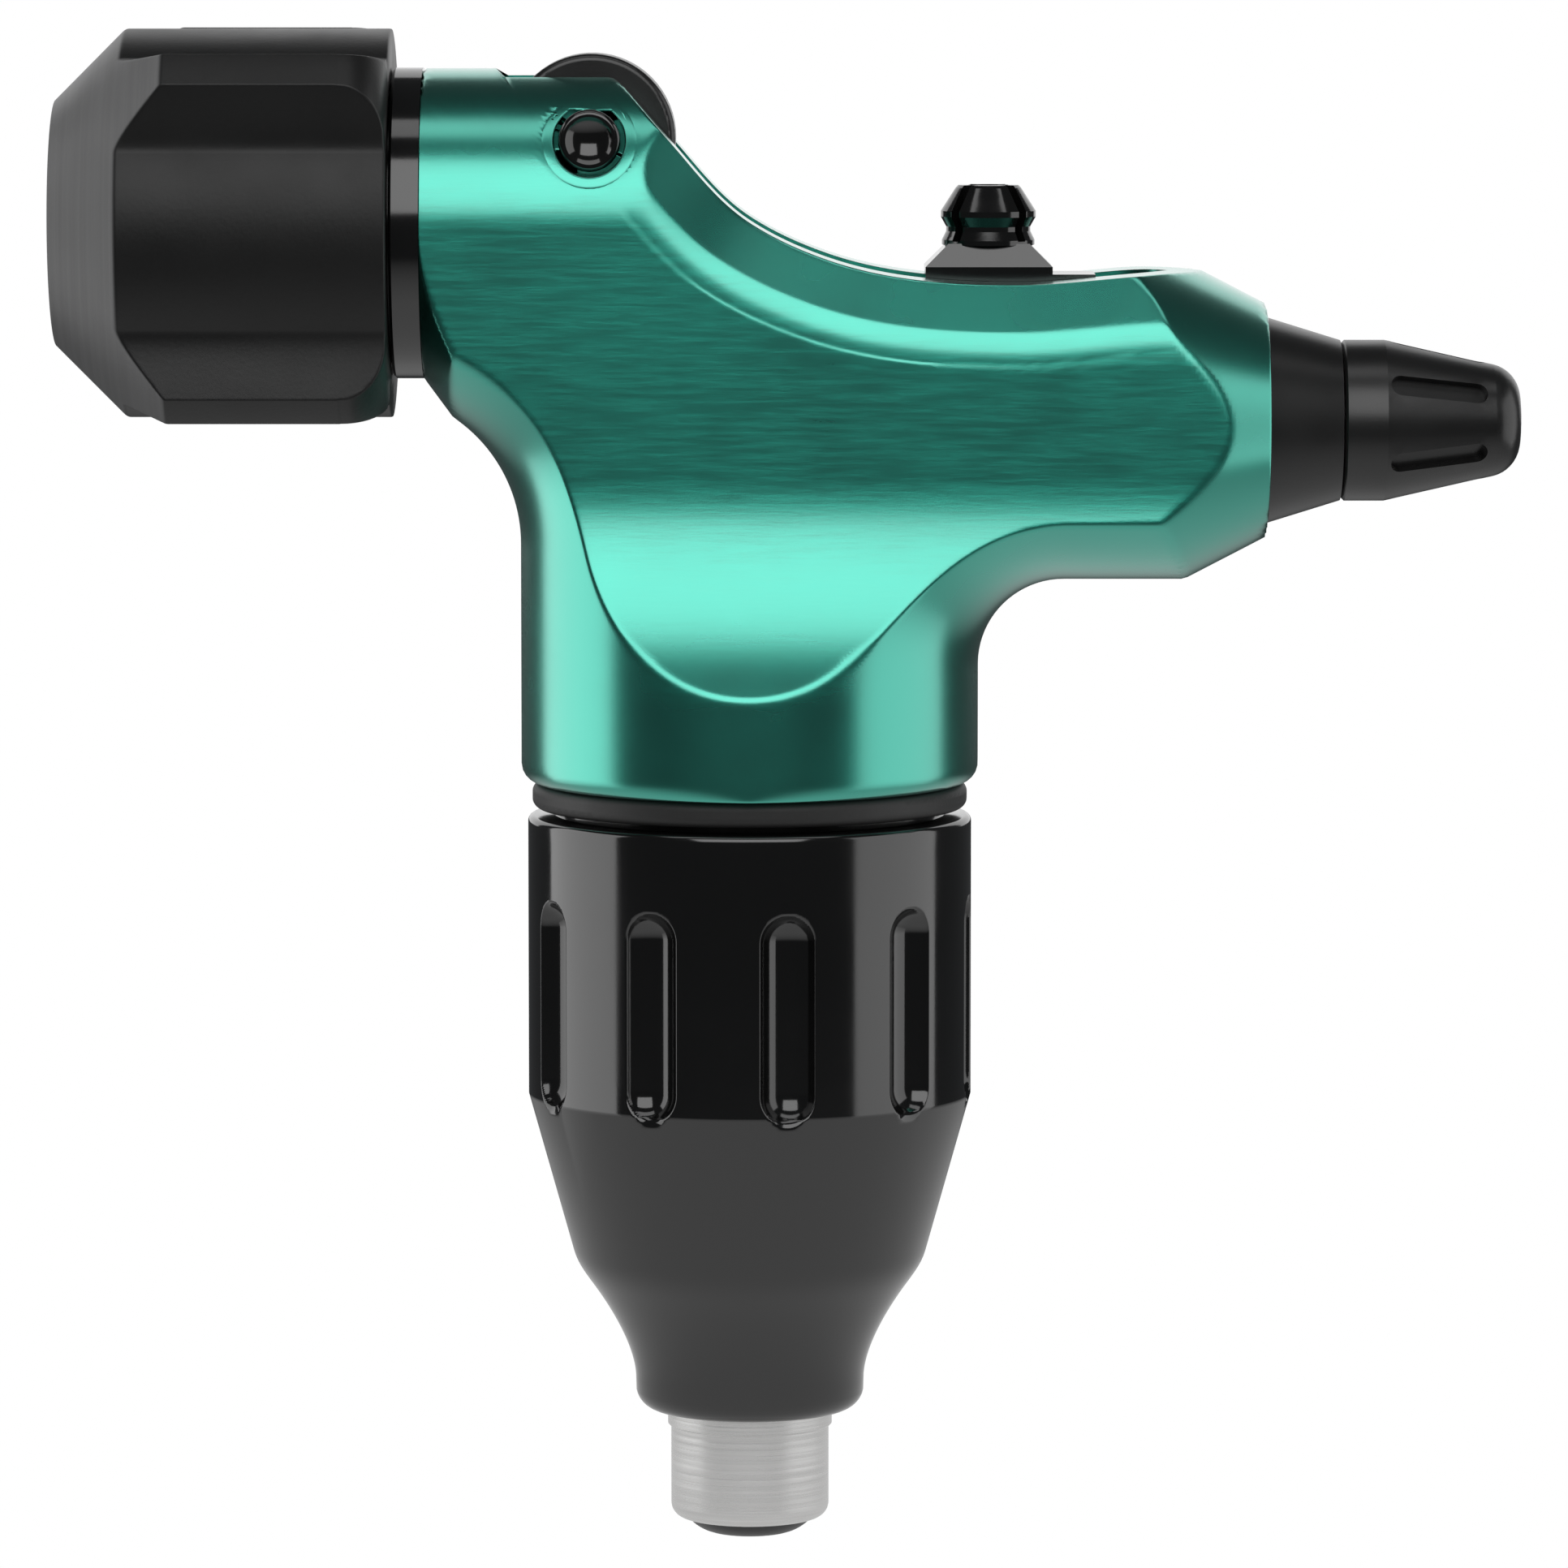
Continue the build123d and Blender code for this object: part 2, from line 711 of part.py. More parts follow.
with BuildPart() as bush_screw:
    # Locks the bush from under the tail.
    bush_screw_base = belly + 0.3
    with BuildSketch(Plane.XY.offset(bush_screw_base)):
        with Locations((bush_screw_x, 0)):
            Circle(bush_screw_r)
    extrude(amount=dial_z - rear_bore_r - bush_screw_base)
    with BuildSketch(Plane.XY.offset(bush_screw_base)):
        with Locations((bush_screw_x, 0)):
            RegularPolygon(0.75, 6)
    extrude(amount=1.3, mode=Mode.SUBTRACT)
save(bush_screw, "bush_screw")

# ---------------------------------------------------------------- eccentric drive
hub = (-18.7, -13.2)
with BuildPart() as cam_hub:
    # Sits on the motor shaft; the half disc balances the pin.
    with Locations((motor_x, 0, hub[0])):
        Cylinder(3.1, hub[1] - hub[0], align=(Align.CENTER, Align.CENTER, Align.MIN))
    with BuildSketch(Plane.XY.offset(hub[0])):
        with Locations((motor_x, 0)):
            Circle(5.3)
            Rectangle(12, 8, align=(Align.CENTER, Align.MAX), mode=Mode.SUBTRACT)
    extrude(amount=2.6)
    with Locations((motor_x, 0, hub[0])):
        Cylinder(shaft_r, 5.1, align=(Align.CENTER, Align.CENTER, Align.MIN), mode=Mode.SUBTRACT)
    with Locations((motor_x, -cam_throw, hub[1])):
        Cylinder(0.7, 0.4, align=(Align.CENTER, Align.CENTER, Align.MAX), mode=Mode.SUBTRACT)
    with BuildSketch(x_plane(motor_x, hub[0] + 3.6)):
        Circle(0.9)
    extrude(amount=4, mode=Mode.SUBTRACT)
save(cam_hub, "cam_hub")

with BuildPart() as cam_set_screw:
    with BuildSketch(x_plane(motor_x + shaft_r, hub[0] + 3.6)):
        Circle(0.9)
    extrude(amount=1.9)
    with BuildSketch(x_plane(motor_x + shaft_r + 1.9, hub[0] + 3.6)):
        RegularPolygon(0.5, 6)
    extrude(amount=-0.9, mode=Mode.SUBTRACT)
save(cam_set_screw, "cam_set_screw")

with BuildPart() as cam_pin:
    # Off-centre pin with a shoulder under the bearing and a head over it.
    for radius, low, high in (
        (0.7, hub[1] - 0.4, hub[1]),
        (1.45, hub[1], bearing_bottom),
        (bearing_bore_r, bearing_bottom, bearing_top),
        (1.4, bearing_top, bearing_top + 0.6),
    ):
        with Locations((motor_x, -cam_throw, low)):
            Cylinder(radius, high - low, align=(Align.CENTER, Align.CENTER, Align.MIN))
save(cam_pin, "cam_pin")

with BuildPart() as bearing_inner_ring:
    with BuildSketch(Plane.XY.offset(bearing_bottom)):
        with Locations((motor_x, -cam_throw)):
            Circle(1.45)
            Circle(bearing_bore_r, mode=Mode.SUBTRACT)
    extrude(amount=bearing_top - bearing_bottom)
save(bearing_inner_ring, "bearing_inner_ring")

with BuildPart() as bearing_balls:
    with Locations((motor_x, -cam_throw, (bearing_bottom + bearing_top) / 2)):
        with PolarLocations(1.71, 11):
            Sphere(0.22)
save(bearing_balls, "bearing_balls")

with BuildPart() as bearing_outer_ring:
    with BuildSketch(Plane.XY.offset(bearing_bottom + 0.05)):
        with Locations((motor_x, -cam_throw)):
            Circle(bearing_r)
            Circle(1.96, mode=Mode.SUBTRACT)
    extrude(amount=bearing_top - bearing_bottom - 0.1)
save(bearing_outer_ring, "bearing_outer_ring")

# ---------------------------------------------------------------- motor


motor_axis = Axis((motor_x, 0, 0), (0, 0, 1))
motor_plane = Plane(origin=(motor_x, 0, 0), x_dir=(1, 0, 0), z_dir=(0, -1, 0))
dial_axis = Axis((0, 0, dial_z), (1, 0, 0))
dial_plane = Plane(origin=(0, 0, dial_z), x_dir=(1, 0, 0), z_dir=(0, -1, 0))


def turned(points, plane=motor_plane, axis=motor_axis):
    """Revolve a closed profile about an axis: (radius, z) points for the motor's axis."""
    with BuildSketch(plane) as profile:
        with BuildLine():
            Polyline(*points, close=True)
        make_face()
    return revolve(profile.sketch, axis=axis, mode=Mode.PRIVATE)


def turned_back(points):
    """Revolve a closed profile of (x, radius) points about the dial's axis."""
    return turned(points, dial_plane, dial_axis)


with BuildPart() as motor_can:
    add(
        turned(
            [
                (2.0, boss_top),
                (3.0, boss_top),
                (3.0, can_seat),
                (can_bore_r, can_seat),
                (can_bore_r, can_bottom),
                (can_inner_r, can_bottom),
                (can_inner_r, can_seat - 1.5),
                (2.0, can_seat - 1.5),
            ]
        )
    )
save(motor_can, "motor_can")

with BuildPart() as motor_front_bearing:
    add(turned([(1.05, boss_top), (2.0, boss_top), (2.0, -21.5), (1.05, -21.5)]))
save(motor_front_bearing, "motor_front_bearing")

with BuildPart() as motor_magnet:
    # Core magnet hung from the front of the can, inside the winding.
    add(turned([(1.4, -22.0), (3.0, -22.0), (3.0, -22.8), (4.6, -22.8), (4.6, -40), (1.4, -40)]))
save(motor_magnet, "motor_magnet")

with BuildPart() as motor_winding:
    # Cup-shaped winding on its hub disc.
    add(
        turned(
            [
                (shaft_r, -42.4),
                (6.6, -42.4),
                (6.6, -23.2),
                (5.1, -23.2),
                (5.1, -41.3),
                (shaft_r, -41.3),
            ]
        )
    )
save(motor_winding, "motor_winding")

with BuildPart() as motor_shaft:
    with Locations((motor_x, 0, -46.2)):
        Cylinder(shaft_r, 46.2 - 13.6, align=(Align.CENTER, Align.CENTER, Align.MIN))
save(motor_shaft, "motor_shaft")

with BuildPart() as commutator:
    add(turned([(shaft_r, -42.4), (1.9, -42.4), (1.9, -44.9), (shaft_r, -44.9)]))
save(commutator, "commutator")

terminal_x = 3.4
with BuildPart() as motor_end_cap:
    add(
        turned(
            [
                (can_bore_r, can_bottom),
                (can_bore_r, cap_bottom),
                (2.2, cap_bottom),
                (2.2, -45.2),
                (5.5, -45.2),
                (5.5, can_bottom),
            ]
        )
    )
    with Locations((motor_x, 0, cap_bottom)):
        with GridLocations(2 * terminal_x, 1, 2, 1):
            Box(0.4, 1.8, 6, mode=Mode.SUBTRACT)
save(motor_end_cap, "motor_end_cap")

with BuildPart() as motor_rear_bearing:
    add(turned([(1.05, -45.2), (2.2, -45.2), (2.2, cap_bottom), (1.05, cap_bottom)]))
save(motor_rear_bearing, "motor_rear_bearing")

with BuildPart() as motor_brushes:
    # Two leaf brushes, each carried by a terminal.
    brush_tip = 1.95
    brush_root = terminal_x - 0.2
    with Locations((motor_x, 0, -44.5)):
        with GridLocations(brush_tip + brush_root, 1, 2, 1):
            Box(brush_root - brush_tip, 1.0, 0.5)
save(motor_brushes, "motor_brushes")

with BuildPart() as motor_terminals:
    with Locations((motor_x, 0, -44.2)):
        with GridLocations(2 * terminal_x, 1, 2, 1):
            Box(0.4, 1.8, 4.2, align=(Align.CENTER, Align.CENTER, Align.MAX))
save(motor_terminals, "motor_terminals")

with BuildPart() as motor_ring:
    # Adapter ring clamped on the can; the housing presses it up into the frame.
    with BuildSketch(Plane.XY.offset(housing_seat)):
        with Locations((motor_x, 0)):
            Circle(housing_bore_r)
            Circle(can_bore_r, mode=Mode.SUBTRACT)
    extrude(amount=ring_bottom - housing_seat)
save(motor_ring, "motor_ring")

# ---------------------------------------------------------------- housing and jack
with BuildPart() as seal_ring:
    with BuildSketch(Plane.XY.offset(lower_bottom)):
        with Locations((motor_x, 0)):
            Circle(11.38)
            Circle(housing_bore_r, mode=Mode.SUBTRACT)
    extrude(amount=-1.35)
    fillet(seal_ring.edges().filter_by(GeomType.CIRCLE).group_by(SortBy.RADIUS)[-1], radius=0.5)
save(seal_ring, "seal_ring")

with BuildPart() as motor_housing:
    # Fluted grip; its spigot screws up into the frame.
    with BuildSketch(motor_plane):
        with BuildLine():
            Polyline((8.3, ring_bottom), (housing_bore_r, ring_bottom), (housing_bore_r, housing_top))
            Line((housing_bore_r, housing_top), (housing_r - 0.35, housing_top))
            TangentArc(
                [(housing_r - 0.35, housing_top), (housing_r, housing_top - 0.35)], tangent=(1, 0)
            )
            Line((housing_r, housing_top - 0.35), (housing_r, -45.6))
            Line((housing_r, -45.6), (9.25, -54.0))
            TangentArc([(9.25, -54.0), (8.05, -56.0)], tangent=(-0.27, -0.963))
            ThreePointArc((8.05, -56.0), (6.52, -58.15), (6.0, -60.8))
            Line((6.0, -60.8), (6.0, housing_base + 1.2))
            TangentArc([(6.0, housing_base + 1.2), (4.8, housing_base)], tangent=(0, -1))
            Polyline(
                (4.8, housing_base),
                (3.9, housing_base),
                (3.9, -56.0),
                (6.0, -56.0),
                (7.3, -53.5),
                (8.3, -47.0),
                (8.3, ring_bottom),
            )
        make_face()
    revolve(axis=motor_axis)
    for k in range(flute_count):
        turn = math.radians(flute_first - 90 + k * 360 / flute_count)
        spot = (motor_x + flute_axis_r * math.cos(turn), flute_axis_r * math.sin(turn))
        with Locations((spot[0], spot[1], flute_bottom + flute_r)):
            Cylinder(
                flute_r,
                flute_top - flute_bottom - 2 * flute_r,
                align=(Align.CENTER, Align.CENTER, Align.MIN),
                mode=Mode.SUBTRACT,
            )
            Sphere(flute_r, mode=Mode.SUBTRACT)
        with Locations((spot[0], spot[1], flute_top - flute_r)):
            Sphere(flute_r, mode=Mode.SUBTRACT)
save(motor_housing, "motor_housing")

with BuildPart() as rca_shell:
    # Outer contact of the jack, shouldered and threaded through the housing's end.
    add(
        turned(
            [
                (3.9, -53.4),
                (3.9, housing_base),
                (jack_ring_r, housing_base),
                (jack_ring_r, jack_ring_bottom + 0.1),
                (jack_ring_r - 0.1, jack_ring_bottom),
                (jack_r, jack_ring_bottom),
                (jack_r, jack_bottom),
                (jack_bore_r, jack_bottom),
                (jack_bore_r, -58.0),
                (1.3, -58.0),
                (1.3, -53.4),
            ]
        )
    )
    end_rims = rca_shell.edges().filter_by(GeomType.CIRCLE).group_by(Axis.Z)[0]
    fillet(end_rims.sort_by(SortBy.RADIUS)[-1], radius=0.75)
save(rca_shell, "rca_shell")

with BuildPart() as rca_insulator:
    # Plastic core with a domed end.
    with BuildSketch(motor_plane):
        with BuildLine():
            Polyline((2.05, -58.4), (0.6, -58.4), (0.6, -58.0), (jack_bore_r, -58.0))
            Line((jack_bore_r, -58.0), (jack_bore_r, jack_bottom))
            ThreePointArc((jack_bore_r, jack_bottom), (2.7, -68.72), (1.9, -69.0))
            Polyline(
                (1.9, -69.0),
                (pin_bore_r + fit_gap, -69.0),
                (pin_bore_r + fit_gap, -67.9),
                (2.05, -67.9),
                (2.05, -58.4),
            )
        make_face()
    revolve(axis=motor_axis)
save(rca_insulator, "rca_insulator")

with BuildPart() as rca_contact:
    # Sprung tube for the plug's pin, with a solder tail.
    add(
        turned(
            [
                (0, -52.6),
                (0.6, -52.6),
                (0.6, -58.4),
                (2.05, -58.4),
                (2.05, -67.9),
                (pin_bore_r, -67.9),
                (pin_bore_r, -58.6),
                (0, -58.6),
            ]
        )
    )
    with Locations((motor_x, 0, -67.9)):
        with PolarLocations(0, 2, start_angle=90):
            Box(0.4, 8, 4, align=(Align.CENTER, Align.CENTER, Align.MIN), mode=Mode.SUBTRACT)
save(rca_contact, "rca_contact")

with BuildPart() as ground_tag:
    # Solder tag under the nut.
    with BuildSketch(Plane.XY.offset(-56.0)):
        with Locations((motor_x, 0)):
            Circle(5.0)
        with Locations((motor_x - 5.2, 0)):
            Rectangle(1.2, 1.4)
        with Locations((motor_x, 0)):
            Circle(3.9, mode=Mode.SUBTRACT)
    extrude(amount=0.4)
save(ground_tag, "ground_tag")

with BuildPart() as rca_nut:
    with BuildSketch(Plane.XY.offset(-55.6)):
        with Locations((motor_x, 0)):
            RegularPolygon(5.1, 6)
            Circle(3.9, mode=Mode.SUBTRACT)
    extrude(amount=1.6)
save(rca_nut, "rca_nut")

lead_r = 0.45


def lead(points, bends):
    """Round wire along a path of straight runs joined by tangent arcs."""
    with BuildPart() as wire:
        with BuildLine() as path:
            FilletPolyline(*points, radius=bends)
        with BuildSketch(Plane(origin=path.line @ 0, z_dir=path.line % 0)):
            Circle(lead_r)
        sweep()
    return wire


lead_live = lead(
    [
        (motor_x + 4.05, 0, -46.9),
        (motor_x + 4.05, 0, -49.4),
        (motor_x, 0, -50.6),
        (motor_x, 0, -52.6),
    ],
    0.9,
)
save(lead_live, "lead_live")

lead_ground = lead(
    [
        (motor_x - 4.05, 0, -46.9),
        (motor_x - 4.05, 0, -50.4),
        (motor_x - 5.6, 0, -52.0),
        (motor_x - 5.6, 0, -55.6),
    ],
    1.0,
)
save(lead_ground, "lead_ground")

# ---------------------------------------------------------------- rear dial
key_x = 60.0
key_r = 0.5
sleeve_front = 57.0
sleeve_bore_r = 4.25
plunger = (57.6, 61.6)
with BuildPart() as dial_collar:
    # Cartridge pressed in the rear bore, with a scalloped cone outside.
    add(
        turned_back(
            [
                (sleeve_front, sleeve_bore_r),
                (sleeve_front, rear_bore_r),
                (frame_rear, rear_bore_r),
                (frame_rear, collar_base_r),
                (collar_tip, collar_tip_r),
                (collar_tip, spindle_r + fit_gap),
                (66.4, spindle_r + fit_gap),
                (66.4, 3.1),
                (65.3, 3.1),
                (65.3, spindle_r + fit_gap),
                (63.4, spindle_r + fit_gap),
                (63.4, sleeve_bore_r),
            ]
        )
    )
    with BuildSketch(side_plane()):
        with Locations((key_x, dial_z)):
            Circle(key_r)
    extrude(amount=-6, mode=Mode.SUBTRACT)
save(dial_collar, "dial_collar")

with BuildPart() as dial_o_ring:
    with BuildSketch(dial_plane):
        with Locations((65.85, 2.57)):
            Circle(0.5)
    revolve(axis=dial_axis)
save(dial_o_ring, "dial_o_ring")

with BuildPart() as plunger_key:
    # Stops the plunger turning with the screw.
    with BuildSketch(side_plane(3.4)):
        with Locations((key_x, dial_z)):
            Circle(key_r)
    extrude(amount=-1.55)
save(plunger_key, "plunger_key")

with BuildPart() as spring_plunger:
    # Nut on the dial's screw that sets how hard the spring is pressed.
    add(
        turned_back(
            [
                (plunger[0], tail_bore_r),
                (plunger[0], sleeve_bore_r - fit_gap),
                (plunger[1], sleeve_bore_r - fit_gap),
                (plunger[1], spindle_r + fit_gap),
                (58.4, spindle_r + fit_gap),
                (58.4, tail_bore_r),
            ]
        )
    )
    with Locations((58.3, 3.25, dial_z)):
        Box(5, 3, 1.2, align=(Align.MIN, Align.MIN, Align.CENTER), mode=Mode.SUBTRACT)
save(spring_plunger, "spring_plunger")

with BuildPart() as give_spring:
    # Presses the slide forwards.
    spring_front = rod_rear - 2.6
    spring_len = 58.4 - spring_front
    with BuildLine() as coil:
        Helix(
            pitch=(spring_len - 0.5) / 5,
            height=spring_len - 0.5,
            radius=1.8,
            center=(spring_front + 0.25, 0, dial_z),
            direction=(1, 0, 0),
        )
    with BuildSketch(Plane(origin=coil.line @ 0, z_dir=coil.line % 0)):
        Circle(0.24)
    sweep(is_frenet=True)
save(give_spring, "give_spring")

with BuildPart() as dial_spindle:
    add(
        turned_back(
            [
                (59.5, 0),
                (59.5, spindle_r),
                (62.75, spindle_r),
                (62.75, 1.5),
                (63.2, 1.5),
                (63.2, spindle_r),
                (72.0, spindle_r),
                (72.0, 0),
            ]
        )
    )
save(dial_spindle, "dial_spindle")

with BuildPart() as spindle_clip:
    with BuildSketch(x_plane(62.75, dial_z)):
        Circle(3.3)
        Circle(1.5, mode=Mode.SUBTRACT)
        with Locations((0, -2)):
            Rectangle(2.2, 4, mode=Mode.SUBTRACT)
    extrude(amount=0.45)
save(spindle_clip, "spindle_clip")

with BuildPart() as dial_cap:
    # Tapered knob with six finger slots.
    with BuildSketch(dial_plane):
        with BuildLine():
            Polyline(
                (72.0, 0),
                (72.0, spindle_r),
                (dial_front, spindle_r),
                (dial_front, dial_r - 0.15),
                (dial_front + 0.15, dial_r),
                (69.2, dial_r),
                (74.3, 3.05),
                (74.9, 2.92),
            )
            TangentArc([(74.9, 2.92), (dial_rear, 1.2)], tangent=(0.975, -0.22))
            Polyline((dial_rear, 1.2), (dial_rear, 0), (72.0, 0))
        make_face()
    revolve(axis=dial_axis)
    slope = math.atan2(dial_r - 3.05, 74.3 - 69.2)
    for k in range(6):
        turn = math.radians(30 + 60 * k)
        out = Vector(0, -math.cos(turn), math.sin(turn))
        lengthwise = Vector(math.cos(slope), 0, 0) - out * math.sin(slope)
        outward = Vector(math.sin(slope), 0, 0) + out * math.cos(slope)
        middle = Vector(71.8, 0, dial_z) + out * 3.1
        with BuildSketch(Plane(origin=middle, x_dir=lengthwise, z_dir=outward)):
            SlotOverall(5.2, 1.13)
        extrude(amount=2, mode=Mode.SUBTRACT)
save(dial_cap, "dial_cap")
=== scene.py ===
import json
import math

import bpy
import numpy as np
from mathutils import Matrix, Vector


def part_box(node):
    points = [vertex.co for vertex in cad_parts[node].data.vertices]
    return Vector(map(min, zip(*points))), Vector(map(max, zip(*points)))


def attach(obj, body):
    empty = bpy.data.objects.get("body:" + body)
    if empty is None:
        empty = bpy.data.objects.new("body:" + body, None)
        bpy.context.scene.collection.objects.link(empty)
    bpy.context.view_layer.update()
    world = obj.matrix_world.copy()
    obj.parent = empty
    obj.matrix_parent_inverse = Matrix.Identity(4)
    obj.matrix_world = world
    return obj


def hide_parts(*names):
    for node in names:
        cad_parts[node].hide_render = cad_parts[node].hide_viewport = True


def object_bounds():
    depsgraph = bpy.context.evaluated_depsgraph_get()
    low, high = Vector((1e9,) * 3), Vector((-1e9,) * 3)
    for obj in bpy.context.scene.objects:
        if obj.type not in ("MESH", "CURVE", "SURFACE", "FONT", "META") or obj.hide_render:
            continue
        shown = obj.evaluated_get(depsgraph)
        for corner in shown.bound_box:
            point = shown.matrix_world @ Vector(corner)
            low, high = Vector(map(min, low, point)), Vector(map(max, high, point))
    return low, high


# Looks of a hand-held rotary tattoo machine. Its pieces are worked out in millimetres and written in
# metres, in the frame of the CAD model: +X runs back along the needle axis, +Z is up, and the origin
# is the mouth of the tube vise.

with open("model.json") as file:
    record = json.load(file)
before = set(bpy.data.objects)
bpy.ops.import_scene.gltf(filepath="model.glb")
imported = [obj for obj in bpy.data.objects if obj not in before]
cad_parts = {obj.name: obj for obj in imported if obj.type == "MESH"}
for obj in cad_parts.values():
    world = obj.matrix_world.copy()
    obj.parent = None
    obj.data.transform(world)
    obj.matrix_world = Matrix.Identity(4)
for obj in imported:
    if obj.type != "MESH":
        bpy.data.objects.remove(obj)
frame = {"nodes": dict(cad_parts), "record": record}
cad_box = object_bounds()
nodes = frame["nodes"]
MM = 0.001


def centre(node):
    """Middle of a CAD node's box, in millimetres."""
    low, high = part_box(node)
    return [(a + b) / 2 / MM for a, b in zip(low, high)]


MOTOR_X = round(centre("motor_housing")[0], 2)  # vertical axis of the motor, its housing and the jack
DIAL_Z = round(centre("dial_cap")[2], 2)  # height of the rear dial's axis


# ---------------------------------------------------------------- making meshes
def add_piece(name, points, faces, body, material, hides=()):
    """A mesh piece of (n, 3) points in millimetres that rides on a CAD body and hides CAD nodes."""
    mesh = bpy.data.meshes.new(name)
    mesh.vertices.add(len(points))
    mesh.vertices.foreach_set("co", (np.asarray(points) * MM).astype(np.float32).ravel())
    mesh.loops.add(faces.size)
    mesh.loops.foreach_set("vertex_index", faces.astype(np.int32).ravel())
    mesh.polygons.add(len(faces))
    mesh.polygons.foreach_set("loop_start", np.arange(0, faces.size, 4, dtype=np.int32))
    mesh.polygons.foreach_set("use_smooth", np.ones(len(faces), bool))
    mesh.update()
    mesh.validate()
    mesh.materials.append(material)
    piece = bpy.data.objects.new(name, mesh)
    bpy.context.scene.collection.objects.link(piece)
    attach(piece, body)
    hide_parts(*hides)
    return piece


def grid_faces(rows, columns, closed=False, first=0):
    """Quads of a grid whose points run row by row; closed joins its last column to its first."""
    index = first + np.arange(rows * columns).reshape(rows, columns)
    if closed:
        index = np.hstack((index, index[:, :1]))
    quads = (index[:-1, :-1], index[:-1, 1:], index[1:, 1:], index[1:, :-1])
    return np.stack(quads, -1).reshape(-1, 4)


def smooth_min(a, b, width):
    """The lower of two heights; where they are closer than width, a parabola blends them."""
    near = np.clip(1 - np.abs(a - b) / width, 0, 1)
    return np.minimum(a, b) - near**2 * width / 4


def root(values):
    """Square root, and zero below zero."""
    return np.sqrt(np.maximum(values, 0))


def even_out(density, count):
    """Places in 0..1 that hold equal shares of a density given at even steps."""
    total = np.concatenate(([0.0], np.cumsum((density[1:] + density[:-1]) / 2)))
    return np.interp(np.linspace(0, total[-1], count), total, np.linspace(0, 1, len(density)))


def soften(values, reach):
    """Running mean over 2 * reach + 1 samples along the last axis, ends held."""
    padded = np.pad(values, [(0, 0)] * (values.ndim - 1) + [(reach + 1, reach)], mode="edge")
    total = np.cumsum(padded, axis=-1)
    return (total[..., 2 * reach + 1 :] - total[..., : -(2 * reach + 1)]) / (2 * reach + 1)


# ---------------------------------------------------------------- body
BARREL_R = 8.05  # the barrel's radius, and half the width across the side pads
FLANK_R = 11.95  # radius of the lower barrel
BODY_FRONT, BODY_REAR, BODY_BOTTOM = 19.15, 63.0, -29.2
SHOULDER = math.radians(49.0)  # fall of the top edge behind the roller
SLOT = (23.3, 57.6, 2.55)  # front, rear and half width of the needle slot
SLOT_FLOOR = -4.6
RECESS, RECESS_R = (27.9, 4.46), 1.83  # the axle's recess in each side
HEART = (36.1, -10.0)  # every part of the side outline can be seen from here
FLARE_TOP, FLARE_LEN, FLARE_OUT = -12.8, 11.1, 3.9  # where the side pads swell to the lower barrel
TAIL_FRONT, TAIL_SLOPE, TAIL_HALF_Y, TAIL_HALF_Z = 52, 0.517, 6.9, 6.1  # the oval cone at the rear
NECK_REAR, NECK_TOP, NECK_R, NECK_SLOPE = 22.55, -0.3, 8.08, 1.35  # the cone behind the front face
OFF = 40.0  # a height above everything, where a surface doesn't count


def hermite(start, end, start_slope, end_slope, steps):
    """Cubic from start to end with the given end tangents."""
    t = np.linspace(0, 1, steps)[:, None]
    a, b, m, n = (np.array(v, float) for v in (start, end, start_slope, end_slope))
    return (
        (2 * t**3 - 3 * t**2 + 1) * a
        + (t**3 - 2 * t**2 + t) * m
        + (3 * t**2 - 2 * t**3) * b
        + (t**3 - t**2) * n
    )


def top_edge():
    """Side view of the top edge: flat, a round shoulder, a straight fall, a long hollow, the rear land."""
    reach = 1.46
    bend = reach / math.tan(SHOULDER / 2)
    turn = np.linspace(0, SHOULDER, 24)[:, None]
    start_x = 28.86 - reach
    shoulder = np.hstack((start_x + bend * np.sin(turn), BARREL_R - bend * (1 - np.cos(turn))))
    fall = (math.cos(SHOULDER), -math.sin(SHOULDER))
    knots = [(32.2, 4.2), (36.0, 0.34), (40.2, -1.68), (50.0, -2.95), (58.0, -2.45)]
    slopes = [np.array(fall), (0.83, -0.56), (0.945, -0.328), (1.0, 0.0), (1.0, 0.0)]
    pieces = [np.array([[BODY_FRONT - 1, BARREL_R]]), shoulder]
    for a, b, m, n in zip(knots, knots[1:], slopes, slopes[1:]):
        chord = math.dist(a, b)
        pieces.append(hermite(a, b, np.array(m) * chord, np.array(n) * chord, 60)[:-1])
    pieces.append(np.array([[58.0, -2.45], [BODY_REAR + 1, -2.45]]))
    return np.vstack(pieces)


TOP = top_edge()


def depth_below_top(x, z):
    """Distance from each point down to the top edge, negative above it."""
    flat = np.stack((x.ravel(), z.ravel()), 1)
    best = np.full(len(flat), 1e9)
    for a, b in zip(TOP, TOP[1:]):
        run = b - a
        along = np.clip(((flat - a) @ run) / (run @ run), 0, 1)
        best = np.minimum(best, np.hypot(*(flat - a - along[:, None] * run).T))
    side = np.where(flat[:, 1] <= np.interp(flat[:, 0], TOP[:, 0], TOP[:, 1]), 1, -1)
    return (best * side).reshape(x.shape)


